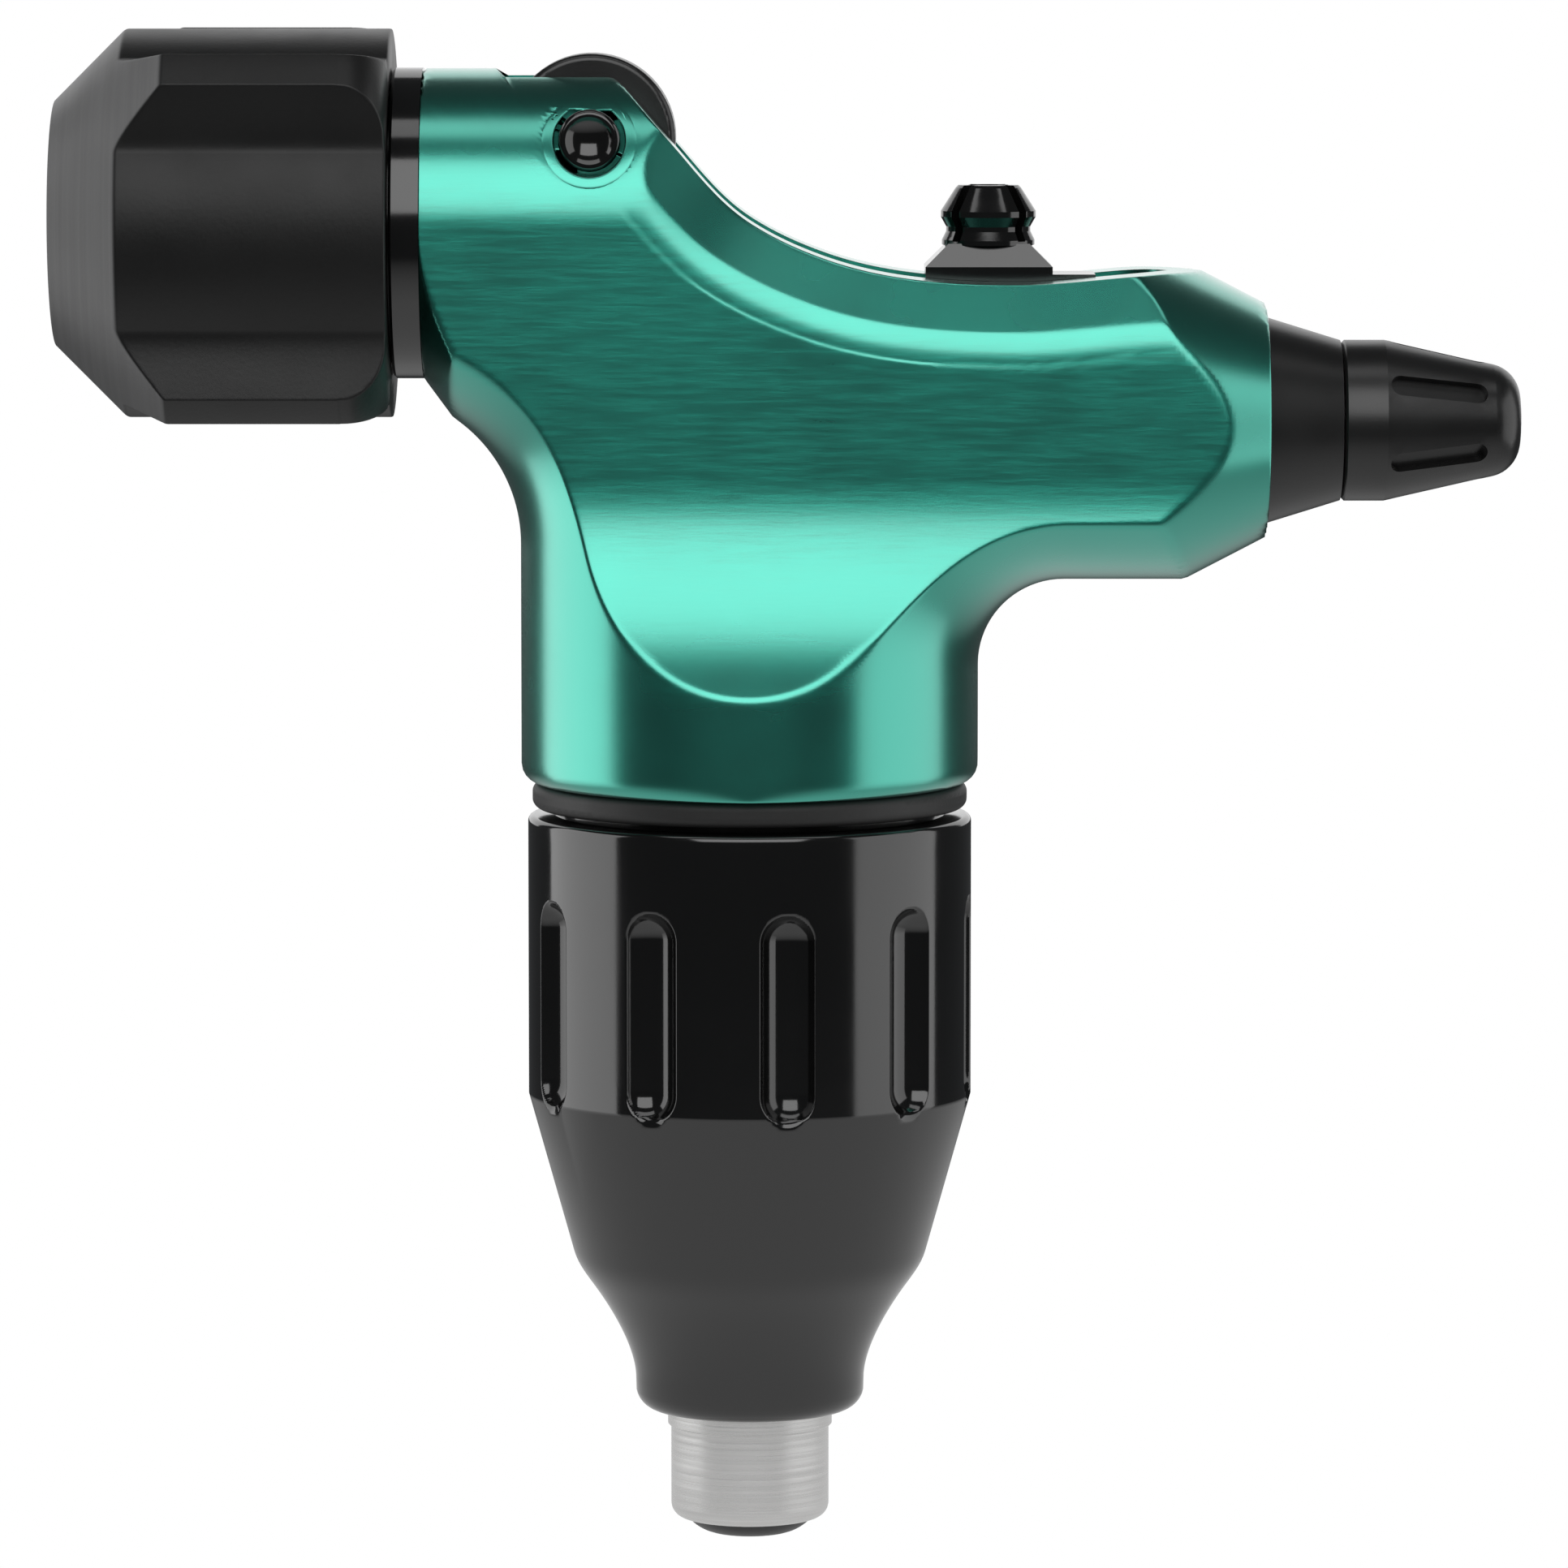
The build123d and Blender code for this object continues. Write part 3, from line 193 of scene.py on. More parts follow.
def body_height(x, z):
    """Half width of the body at (x, z) of its side view, negative outside.

    The lowest of: the rounded bevel under the top edge; the barrel's circle, the flat pad and the
    flare below it; the round flank, by the distance to the lower outline; the tail's oval cone;
    the cone that thins the neck.
    """
    depth = depth_below_top(x, z)
    crease, crease_y, roll, land = 2.4, 7.72, 1.75, 6.3
    left = np.clip(1 - (depth - crease) / roll, 0, 1)
    rising = land + (crease_y - land) * depth / crease
    bevel = np.where(depth < crease, rising, BARREL_R - (BARREL_R - crease_y) * left**2)
    bevel = np.where(depth > crease + roll, OFF, bevel)
    fall = np.clip((FLARE_TOP - z) / FLARE_LEN, 0, None)
    section = np.where(z > 0, root(BARREL_R**2 - z**2), BARREL_R + FLARE_OUT * fall**2)
    height = smooth_min(section, bevel, 0.1)
    front_x, front_z, rear_x, rear_z = 16.2, -16.7, 52.5, -23.0
    front_r, rear_r = MOTOR_X - FLANK_R - front_x, rear_x - MOTOR_X - FLANK_R
    to_front = np.where(z < front_z, x - front_x, np.hypot(x - front_x, z - front_z)) - front_r
    to_rear = np.where(z < rear_z, rear_x - x, np.hypot(x - rear_x, z - rear_z)) - rear_r
    to_rear = np.where((x > rear_x) & (z > rear_z), z - rear_z - rear_r, to_rear)
    inset = np.minimum(to_front, to_rear)
    lift = np.clip((BODY_BOTTOM + 1 - z), 0, 1)
    inset = inset - (1 - root(1 - lift**2))
    flank = root(FLANK_R**2 - (FLANK_R - np.clip(inset, 0, FLANK_R)) ** 2)
    height = smooth_min(height, flank, 0.16)
    widen = (BODY_REAR - x) * TAIL_SLOPE
    cone = (TAIL_HALF_Y + widen) * root(1 - ((z - DIAL_Z) / (TAIL_HALF_Z + widen)) ** 2)
    height = smooth_min(height, np.where(x > TAIL_FRONT, cone, OFF), 0.12)
    neck_r = NECK_R + (x - BODY_FRONT) * NECK_SLOPE
    neck = root(neck_r**2 - z**2)
    in_neck = (z < NECK_TOP) & (x < NECK_REAR)
    height = smooth_min(height, np.where(in_neck, neck, OFF), 0.04)
    outside = (depth < 0) | (inset < 0) | (x < BODY_FRONT) | (x > BODY_REAR) | (z < BODY_BOTTOM)
    outside |= (x > TAIL_FRONT) & (np.abs(z - DIAL_Z) > TAIL_HALF_Z + widen)
    outside |= in_neck & (np.abs(z) > neck_r)
    return np.where(outside, -1.0, height)


def slot_half(x):
    """Half width of the needle slot at x: square in front, round behind, zero outside."""
    front, rear, half = SLOT
    from_end = np.clip(x - (rear - half), 0, half)
    inside = (x > front) & (x < rear)
    return np.where(inside, root(half**2 - from_end**2), 0.0)


def bore_start(x, z):
    """Half width at which the outer wall starts, so that the slot and the three bores stay open."""
    start = np.where(z > -5, slot_half(x), 0.0)
    at_front = (x < BODY_FRONT + 0.02) & (np.abs(z) < 6.6)
    at_rear = (x > BODY_REAR - 0.02) & (np.abs(z - DIAL_Z) < 5.0)
    at_bottom = (z < BODY_BOTTOM + 0.02) & (np.abs(x - MOTOR_X) < 10.2)
    start = np.where(at_front, root(6.6**2 - z**2), start)
    start = np.where(at_rear, root(5.0**2 - (z - DIAL_Z) ** 2), start)
    return np.where(at_bottom, root(10.2**2 - (x - MOTOR_X) ** 2), start)


def outline_radius(angles):
    """Distance from the heart to the side outline at each angle, by halving."""
    steps = np.linspace(0, 45, 230)
    x = HEART[0] + steps[None, :] * np.cos(angles)[:, None]
    z = HEART[1] + steps[None, :] * np.sin(angles)[:, None]
    open_slot = np.where(z > -5, slot_half(x), 0.0)
    outside = body_height(x, z) <= open_slot
    first = outside.argmax(1)
    near, far = steps[first - 1], steps[first]
    for _ in range(16):
        middle = (near + far) / 2
        x = HEART[0] + middle * np.cos(angles)
        z = HEART[1] + middle * np.sin(angles)
        inside = body_height(x, z) > np.where(z > -5, slot_half(x), 0.0)
        near, far = np.where(inside, middle, near), np.where(inside, far, middle)
    return near


def open_recess(x, z, y):
    """Opens the axle's recess: its inside goes deep, and the wall round it hides behind axle_lip."""
    away = np.hypot(x - RECESS[0], z - RECESS[1])
    high = y > 5.5
    moved = np.where((away > 1.0) & (away < 1.95), 2.0, np.interp(away, [1.95, 2.5], [2.05, 2.5]))
    moved = np.where((away > 1.0) & (away < 2.5), moved, away)
    stretch = np.where(high, moved / np.maximum(away, 1e-6), 1.0)
    sunk = np.where(away < 1.95, 4.6, y - 0.03 * np.clip((2.5 - away) / 0.2, 0, 1))
    x2, z2 = RECESS[0] + (x - RECESS[0]) * stretch, RECESS[1] + (z - RECESS[1]) * stretch
    return x2, z2, np.where(high & (away < 2.5), sunk, y)


def axle_lip():
    """The recess's wall and its rounded rim, in turns about the axle: y is body_height less a drop."""
    turn = np.linspace(0, 2 * math.pi, 121)[None, :-1]
    rim = [(RECESS_R + 0.12 * (1 - math.cos(a)), 0.12 * (1 - math.sin(a))) for a in np.linspace(0, 1.57, 7)]
    radius = np.array([RECESS_R, RECESS_R] + [r for r, _ in rim] + [2.12, 2.3, 2.42, 2.5])[:, None]
    drop = np.array([2.6, 1.2] + [d for _, d in rim] + [-0.004, -0.004, 0.01, 0.05])[:, None]
    x = RECESS[0] + radius * np.cos(turn)
    z = RECESS[1] + radius * np.sin(turn)
    return np.stack((x, body_height(x, z) - drop, z), -1)


def body_side(rays, samples):
    """One side of the body as points[ray, sample].

    Ray k leaves the heart at an angle spaced by the outline's length. Along it a profile starts on
    the wall at the slot or a bore, climbs to the edge, and follows body_height back to the heart.
    The profile's corners are rounded by a running mean, and its samples gather where it bends. Their
    distances from the heart are then averaged over neighbouring rays, so that the grid runs smoothly.
    """
    dense = np.linspace(-math.pi, math.pi, 1000)
    radius = outline_radius(dense)
    edge = np.stack((radius * np.cos(dense), radius * np.sin(dense)))
    stride = np.hypot(*np.gradient(edge, axis=1))
    turn = np.abs(np.gradient(np.unwrap(np.arctan2(*np.gradient(edge, axis=1)))))
    density = soften(stride + 0.12 * np.clip(turn, 0, 0.5) + 0.02, 3)
    angles = -math.pi + 2 * math.pi * even_out(density, rays + 1)[:-1]
    radius = outline_radius(angles)
    out_x = HEART[0] + radius * np.cos(angles)
    out_z = HEART[1] + radius * np.sin(angles)
    top = body_height(out_x, out_z)
    start = np.minimum(bore_start(out_x, out_z), top)
    wall_steps, run_steps = 120, 900
    back = np.linspace(0, 1, run_steps) ** 1.6
    along = radius[:, None] * (1 - back[None, :])
    x = HEART[0] + along * np.cos(angles)[:, None]
    z = HEART[1] + along * np.sin(angles)[:, None]
    height = np.maximum(body_height(x, z), 0)
    climb = start[:, None] + (top - start)[:, None] * np.linspace(0, 1, wall_steps)[None, :-1]
    reach = np.hstack((np.repeat(radius[:, None], wall_steps - 1, 1), along))
    width = np.hstack((climb, height))
    length = np.hypot(np.diff(reach, axis=1), np.diff(width, axis=1))
    length = np.hstack((np.zeros((rays, 1)), np.cumsum(length, 1)))
    fine = 1600
    total = length[:, -1:]
    profiles, to_heart = np.empty((rays, 2, fine)), np.empty((rays, samples))
    for k in range(rays):
        even = np.linspace(0, length[k, -1], fine)
        window = max(1, int(0.09 / (even[1] + 1e-9)))
        profile = soften(np.stack([np.interp(even, length[k], v[k]) for v in (reach, width)]), window)
        bend = np.abs(np.gradient(np.unwrap(np.arctan2(*np.gradient(profile, axis=1)[::-1]))))
        share = soften(0.011 + np.clip(bend, 0, 0.2), 12)
        profiles[k] = profile
        to_heart[k] = total[k] * (1 - even_out(share, samples))
    spread = sum(np.roll(to_heart, step, 0) for step in range(-6, 7)) / 13
    spread += (total - spread[:, :1]) * np.clip(1 - np.arange(samples) / 30, 0, 1) ** 2
    spread = np.minimum.accumulate(np.clip(spread, 0, total), 1)
    points = np.empty((rays, samples, 3))
    for k in range(rays):
        place = (1 - spread[k] / total[k]) * (fine - 1)
        reach_k, width_k = (np.interp(place, np.arange(fine), v) for v in profiles[k])
        points[k] = np.stack((reach_k * math.cos(angles[k]), width_k, reach_k * math.sin(angles[k])), 1)
    points += (HEART[0], 0, HEART[1])
    points[:, 0, 1] = start
    points[:, -1] = points[0, -1]
    x, z, y = open_recess(points[..., 0], points[..., 2], points[..., 1])
    return np.stack((x, y, z), -1)


def needle_channel():
    """Half of the slot's inside: down the wall at y = slot_half(x), then across the floor."""
    front, rear, _ = SLOT
    x = front + (rear - front) * (1 - np.cos(np.linspace(0, math.pi, 130))) / 2
    y = np.maximum(slot_half(np.clip(x, front + 1e-4, rear)), 0)
    edge = np.interp(x, TOP[:, 0], TOP[:, 1])
    top = np.where(x < 29.5, np.minimum(edge, root(BARREL_R**2 - y**2)), edge) - 0.02
    down = np.linspace(0, 1, 10)[None, :]
    wall_z = top[:, None] + (SLOT_FLOOR - top)[:, None] * down
    wall = np.stack((np.repeat(x[:, None], 10, 1), np.repeat(y[:, None], 10, 1), wall_z), -1)
    across = np.linspace(1, 0, 5)[None, 1:]
    floor_y = y[:, None] * across
    floor = np.stack((np.repeat(x[:, None], 4, 1), floor_y, np.full(floor_y.shape, SLOT_FLOOR)), -1)
    return np.concatenate((wall, floor), 1)


def make_body(material):
    """Both sides of the body, its needle channel and its axle recesses, mirrored about y = 0."""
    grids = (np.swapaxes(body_side(400, 104), 0, 1), needle_channel(), axle_lip())
    points, faces, first = [], [], 0
    for grid, closed in zip(grids, (True, False, True)):
        rows, columns = grid.shape[:2]
        for mirror in (1, -1):
            points.append((grid * (1, mirror, 1)).reshape(-1, 3))
            quads = grid_faces(rows, columns, closed, first)
            faces.append(quads if mirror == 1 else quads[:, ::-1])
            first += rows * columns
    return add_piece("body_shell", np.vstack(points), np.vstack(faces), "body", material, ["frame"])


# ---------------------------------------------------------------- motor housing
HOUSING_R = 11.61
FLUTES, FIRST_FLUTE = 10, 10.0  # count, and clocking in degrees from -Y towards +X
FLUTE_R, FLUTE_AXIS_R = 1.6, 12.2
FLUTE_TOP, FLUTE_BOTTOM = -34.9, -46.0


def arc(centre_point, radius, start, end, steps):
    """Points of an arc from start to end, in degrees."""
    turn = np.radians(np.linspace(start, end, steps))[:, None]
    return np.array(centre_point) + radius * np.hstack((np.cos(turn), np.sin(turn)))


def housing_profile():
    """(radius, z) of the grip: hidden spigot, straight barrel, cone, hollow neck, rounded foot, bore."""
    z_flutes = np.concatenate(
        (
            np.linspace(-34.3, -36.8, 26),
            np.linspace(-37.4, -43.6, 9),
            np.linspace(-44.2, -45.5, 14),
        )
    )
    barrel = np.stack((np.full(len(z_flutes), HOUSING_R), z_flutes), 1)
    cone_z = np.linspace(-45.7, -54.0, 30)
    cone = np.stack((HOUSING_R - (-45.6 - cone_z) * (HOUSING_R - 9.25) / 8.4, cone_z), 1)
    neck = hermite((9.25, -54.0), (8.05, -56.0), (-0.62, -2.2), (-1.35, -1.95), 9)[1:]
    hollow = hermite((8.05, -56.0), (6.0, -60.8), (-2.6, -3.7), (0.0, -4.6), 22)[1:]
    return np.vstack(
        (
            [(10.2, -26.0), (10.2, -30.5)],
            [(10.2, -30.88), (10.22, -30.9), (HOUSING_R - 0.35, -30.9)],
            arc((HOUSING_R - 0.35, -31.25), 0.35, 90, 0, 7)[1:],
            [(HOUSING_R, -32.0), (HOUSING_R, -33.4)],
            barrel,
            [(HOUSING_R, -45.6)],
            cone,
            neck,
            hollow,
            arc((4.8, -61.2), 1.2, 0, -90, 10)[1:],
            [(3.95, -62.4), (3.9, -62.35), (3.9, -58.0)],
        )
    )


def make_housing(material):
    """Fluted grip: radius(turn, z) is the lower of the profile and the ball-ended grooves.

    A groove is the inside of a cylinder of radius FLUTE_R with round ends, standing at FLUTE_AXIS_R,
    cut at its own distance from the motor's axis: axis_r cos(a) - root(c^2 - (axis_r sin(a))^2).
    """
    pitch = 360 / FLUTES
    fine = np.linspace(5.4, 8.6, 15)
    half = np.concatenate((np.linspace(0, 4.8, 9), fine, np.linspace(9.6, pitch / 2, 8)))
    one = np.concatenate((-half[:0:-1], half))[:-1]
    turn = np.concatenate([FIRST_FLUTE + k * pitch + one for k in range(FLUTES)])
    profile = housing_profile()
    radius, z = profile[:, :1], profile[:, 1:]
    off = np.radians((turn - FIRST_FLUTE + pitch / 2) % pitch - pitch / 2)[None, :]
    beyond = np.maximum(z - (FLUTE_TOP - FLUTE_R), (FLUTE_BOTTOM + FLUTE_R) - z)
    ball = root(FLUTE_R**2 - np.maximum(beyond, 0) ** 2)
    sideways = FLUTE_AXIS_R * np.sin(off)
    groove = FLUTE_AXIS_R * np.cos(off) - root(ball**2 - sideways**2)
    groove = np.where((ball > np.abs(sideways)) & (beyond < FLUTE_R), groove, OFF)
    outside = (radius > 7) & (z < -31) & (z > -50)
    surface = np.where(outside, smooth_min(radius, groove, 0.07), radius)
    around_axis = np.radians(turn)[None, :]
    x = MOTOR_X + surface * np.sin(around_axis)
    y = -surface * np.cos(around_axis)
    points = np.stack((x, y, np.repeat(z, len(turn), 1)), -1)
    faces = grid_faces(*points.shape[:2], closed=True)[:, ::-1]
    return add_piece("fluted_grip", points.reshape(-1, 3), faces, "body", material, ["motor_housing"])


# ---------------------------------------------------------------- vise knob
KNOB_LEN, KNOB_R, VALLEY_R = 17.5, 12.5, 10.1
LOBES, FIRST_LOBE = 4, 41.0


def make_knob(material):
    """Four-lobed knob: radius(turn, x) is the lowest of its lobed section, front cone and rear roll.

    The section is KNOB_R on a crest, VALLEY_R in a valley, and between them KNOB_R less a share
    1 - (1 - t) ** 1.6 of the difference, t running from the crest's edge to the valley's.
    """
    pitch = 360 / LOBES
    crest, edge = np.linspace(0, 3.4, 6), np.linspace(3.8, 6.4, 12)
    half = np.concatenate((crest, edge, np.linspace(7, 19, 30), np.linspace(20.5, 45, 18)))
    one = np.concatenate((-half[:0:-1], half))[:-1]
    turn = np.concatenate([FIRST_LOBE + k * pitch + one for k in range(LOBES)])[None, :]
    off = np.abs((turn - FIRST_LOBE + pitch / 2) % pitch - pitch / 2)
    share = 1 - (1 - np.clip((off - 4.6) / 13.6, 0, 1)) ** 1.6
    lobed = KNOB_R - (KNOB_R - VALLEY_R) * share
    x = np.concatenate(
        (np.linspace(0, 6.4, 90), np.linspace(6.6, 14.6, 24), np.linspace(14.8, KNOB_LEN, 34))
    )[:, None]
    cone = 6.4 + (KNOB_R - 6.4) * x / 6.1
    roll_start, roll = 15.1, 2.4
    past = np.clip(x - roll_start, 0, roll)
    rear = np.where(x > roll_start, KNOB_R - roll + root(roll**2 - past**2), OFF)
    surface = smooth_min(smooth_min(lobed + 0 * x, cone + 0 * lobed, 0.16), rear + 0 * lobed, 0.1)
    bore = [(KNOB_LEN, 7.6), (KNOB_LEN - 0.05, 7.3), (8.5, 7.3), (8.5, 6.05)]
    bore += [(2.7, 6.05), (2.7, 5.1), (0.2, 5.1), (0, 5.3)]
    bore_x = np.array([p[0] for p in bore])[:, None]
    bore_r = np.array([p[1] for p in bore])[:, None] + 0 * turn
    x = np.vstack((x, bore_x, [[0.0]])) + 0 * turn
    surface = np.vstack((surface, bore_r, surface[:1]))
    angle = np.radians(turn)
    points = np.stack((x, -surface * np.cos(angle), surface * np.sin(angle)), -1)
    faces = grid_faces(*points.shape[:2], closed=True)[:, ::-1]
    return add_piece("lobed_knob", points.reshape(-1, 3), faces, "vise_knob", material, ["vise_knob"])


# ---------------------------------------------------------------- shader groups
def new_group(name, inputs, outputs):
    """An empty shader node group with the named sockets; returns its tree, input and output nodes."""
    tree = bpy.data.node_groups.new(name, "ShaderNodeTree")
    for label, kind, value in inputs:
        socket = tree.interface.new_socket(label, in_out="INPUT", socket_type=kind)
        socket.default_value = value
    for label, kind in outputs:
        tree.interface.new_socket(label, in_out="OUTPUT", socket_type=kind)
    return tree, tree.nodes.new("NodeGroupInput"), tree.nodes.new("NodeGroupOutput")


def add_noise(tree, vector, scale, detail=2.0, roughness=0.5):
    """A noise texture on a vector socket; returns its value socket."""
    noise = tree.nodes.new("ShaderNodeTexNoise")
    noise.inputs["Detail"].default_value = detail
    noise.inputs["Roughness"].default_value = roughness
    if isinstance(scale, (int, float)):
        noise.inputs["Scale"].default_value = scale
    else:
        tree.links.new(scale, noise.inputs["Scale"])
    tree.links.new(vector, noise.inputs["Vector"])
    return noise.outputs["Fac"]


def add_range(tree, value, low, high, to_low=0.0, to_high=1.0):
    """Map Range of a value socket."""
    node = tree.nodes.new("ShaderNodeMapRange")
    tree.links.new(value, node.inputs["Value"])
    for label, number in (("From Min", low), ("From Max", high), ("To Min", to_low), ("To Max", to_high)):
        node.inputs[label].default_value = number
    return node.outputs["Result"]


def add_math(tree, kind, a, b):
    """Math node on sockets or numbers."""
    node = tree.nodes.new("ShaderNodeMath")
    node.operation = kind
    for slot, value in zip(node.inputs, (a, b)):
        if isinstance(value, (int, float)):
            slot.default_value = value
        else:
            tree.links.new(value, slot)
    return node.outputs[0]


def add_stretch(tree, vector, scale):
    """Object coordinates stretched by a Mapping node."""
    node = tree.nodes.new("ShaderNodeMapping")
    node.inputs["Scale"].default_value = scale
    tree.links.new(vector, node.inputs["Vector"])
    return node.outputs["Vector"]


def grain_group():
    """Fine all-over grain and large soft smudges: height for a bump, and a value for colour and gloss."""
    tree, inside, out = new_group(
        "surface_grain",
        [("Vector", "NodeSocketVector", (0, 0, 0)), ("Grain Scale", "NodeSocketFloat", 5000.0)],
        [("Height", "NodeSocketFloat"), ("Smudge", "NodeSocketFloat")],
    )
    grain = add_noise(tree, inside.outputs["Vector"], inside.outputs["Grain Scale"], 3.0, 0.6)
    smudge = add_noise(tree, inside.outputs["Vector"], 140.0, 3.0, 0.6)
    tree.links.new(grain, out.inputs["Height"])
    tree.links.new(add_range(tree, smudge, 0.3, 0.7), out.inputs["Smudge"])
    return tree


def streak_group(name, stretch):
    """Marks drawn out along one direction: long fine lines, and broader bands that vary their strength."""
    tree, inside, out = new_group(
        name,
        [("Vector", "NodeSocketVector", (0, 0, 0)), ("Line Scale", "NodeSocketFloat", 1.0)],
        [("Height", "NodeSocketFloat")],
    )
    place, line_scale = inside.outputs["Vector"], inside.outputs["Line Scale"]
    fine = add_noise(tree, add_stretch(tree, place, stretch), line_scale, 4.0, 0.65)
    broad_stretch = tuple(0.35 * s for s in stretch)
    band = add_noise(tree, add_stretch(tree, place, broad_stretch), line_scale, 2.0, 0.5)
    lines = add_math(tree, "MULTIPLY", fine, add_range(tree, band, 0.35, 0.65, 0.3, 1.0))
    tree.links.new(lines, out.inputs["Height"])
    return tree


GRAIN = grain_group()
BRUSHED = streak_group("brushed_lengthwise", (900.0, 4000.0, 11000.0))
TURNED = streak_group("turned_rings", (90.0, 90.0, 9000.0))
TURNED_ACROSS = streak_group("turned_rings_across", (9000.0, 60.0, 60.0))


# ---------------------------------------------------------------- materials
def new_finish(name, colour, metallic, roughness, ior=1.5, coat=0.0, coat_roughness=0.1):
    """A Principled material with its plain numbers set, and its Object coordinates."""
    material = bpy.data.materials.new(name)
    material.use_nodes = True
    tree = material.node_tree
    shader = tree.nodes["Principled BSDF"]
    shader.inputs["Base Color"].default_value = (*colour, 1)
    shader.inputs["Metallic"].default_value = metallic
    shader.inputs["Roughness"].default_value = roughness
    shader.inputs["IOR"].default_value = ior
    shader.inputs["Coat Weight"].default_value = coat
    shader.inputs["Coat Roughness"].default_value = coat_roughness
    place = tree.nodes.new("ShaderNodeTexCoord").outputs["Object"]
    return material, tree, shader, place


def add_group(tree, group, place, label, value):
    """A shader group in a material, fed with coordinates and one number."""
    node = tree.nodes.new("ShaderNodeGroup")
    node.node_tree = group
    node.inputs[label].default_value = value
    tree.links.new(place, node.inputs["Vector"])
    return node


def add_bump(tree, shader, height, strength, distance):
    """A bump from a height socket, in metres."""
    bump = tree.nodes.new("ShaderNodeBump")
    bump.inputs["Strength"].default_value = strength
    bump.inputs["Distance"].default_value = distance
    tree.links.new(height, bump.inputs["Height"])
    tree.links.new(bump.outputs["Normal"], shader.inputs["Normal"])


def add_tint(tree, shader, value, low, high):
    """Base colour between two colours by a value socket."""
    mix = tree.nodes.new("ShaderNodeMix")
    mix.data_type = "RGBA"
    tree.links.new(value, mix.inputs["Factor"])
    mix.inputs["A"].default_value = (*low, 1)
    mix.inputs["B"].default_value = (*high, 1)
    tree.links.new(mix.outputs["Result"], shader.inputs["Base Color"])


def green_anodised():
    """Green anodised aluminium: the flat sides finely brushed lengthwise, the rest smooth."""
    material, tree, shader, place = new_finish(
        "green_anodised", (0.03, 0.46, 0.345), 1.0, 0.3, coat=1.0, coat_roughness=0.22
    )
    shader.inputs["Coat IOR"].default_value = 1.75
    brushed = add_group(tree, BRUSHED, place, "Line Scale", 1.0)
    grain = add_group(tree, GRAIN, place, "Grain Scale", 6000.0)
    normal = tree.nodes.new("ShaderNodeNewGeometry").outputs["Normal"]
    facing = tree.nodes.new("ShaderNodeSeparateXYZ")
    tree.links.new(normal, facing.inputs["Vector"])
    where = tree.nodes.new("ShaderNodeSeparateXYZ")
    tree.links.new(place, where.inputs["Vector"])
    flat = add_range(tree, add_math(tree, "ABSOLUTE", facing.outputs["Y"], 0.0), 0.85, 0.97)
    high = add_range(tree, where.outputs["Z"], -0.0245, -0.0235)
    flat = add_math(tree, "MULTIPLY", flat, high)
    lines = add_math(tree, "MULTIPLY", brushed.outputs["Height"], flat)
    height = add_math(tree, "ADD", lines, add_math(tree, "MULTIPLY", grain.outputs["Height"], 0.2))
    add_bump(tree, shader, height, 0.5, 0.00001)
    add_tint(tree, shader, lines, (0.022, 0.41, 0.31), (0.032, 0.47, 0.355))
    gloss = add_math(tree, "MULTIPLY", flat, add_range(tree, lines, 0.1, 0.6, 0.03, 0.1))
    base = add_range(tree, grain.outputs["Smudge"], 0.0, 1.0, 0.24, 0.28)
    tree.links.new(add_math(tree, "ADD", base, gloss), shader.inputs["Roughness"])
    return material


def knob_finish():
    """Matte black; the front cone's forward-facing side is lightened to grey as a painted reflection of the
    left light, with turned rings in it.
    """
    material = black_finish("matte_black", (0.007, 0.007, 0.007), 0.42, 0.05, 1.45, 4200.0, 0.35)
    tree, shader = material.node_tree, material.node_tree.nodes["Principled BSDF"]
    place = tree.nodes.new("ShaderNodeTexCoord").outputs["Object"]
    where = tree.nodes.new("ShaderNodeSeparateXYZ")
    tree.links.new(place, where.inputs["Vector"])
    normal = tree.nodes.new("ShaderNodeNewGeometry").outputs["Normal"]
    facing = tree.nodes.new("ShaderNodeSeparateXYZ")
    tree.links.new(normal, facing.inputs["Vector"])
    # Painted reflection: where the front cone faces forward (-X), its base colour is mixed towards grey to
    # stand in for the left light's reflection.
    cone = add_math(
        tree,
        "MULTIPLY",
        add_range(tree, facing.outputs["X"], -0.3, -0.6),
        add_range(tree, where.outputs["X"], 0.0068, 0.0062),
    )
    rings = add_group(tree, TURNED_ACROSS, place, "Line Scale", 1.0)
    share = add_math(tree, "MULTIPLY", cone, add_range(tree, rings.outputs["Height"], 0.0, 0.6, 0.75, 1.0))
    old = shader.inputs["Base Color"].links[0].from_socket
    mix = tree.nodes.new("ShaderNodeMix")
    mix.data_type = "RGBA"
    tree.links.new(share, mix.inputs["Factor"])
    tree.links.new(old, mix.inputs["A"])
    mix.inputs["B"].default_value = (0.1, 0.1, 0.101, 1)
    tree.links.new(mix.outputs["Result"], shader.inputs["Base Color"])
    return material


def black_finish(name, colour, roughness, spread, ior, grain_scale, bump):
    """A black finish: fine grain in the surface, and smudges that change its gloss a little."""
    material, tree, shader, place = new_finish(name, colour, 0.0, roughness, ior=ior)
    grain = add_group(tree, GRAIN, place, "Grain Scale", grain_scale)
    gloss = add_range(tree, grain.outputs["Smudge"], 0.0, 1.0, roughness - spread, roughness + spread)
    tree.links.new(gloss, shader.inputs["Roughness"])
    add_tint(tree, shader, grain.outputs["Height"], [0.8 * c for c in colour], [1.25 * c for c in colour])
    add_bump(tree, shader, grain.outputs["Height"], bump, 0.00002)
    return material


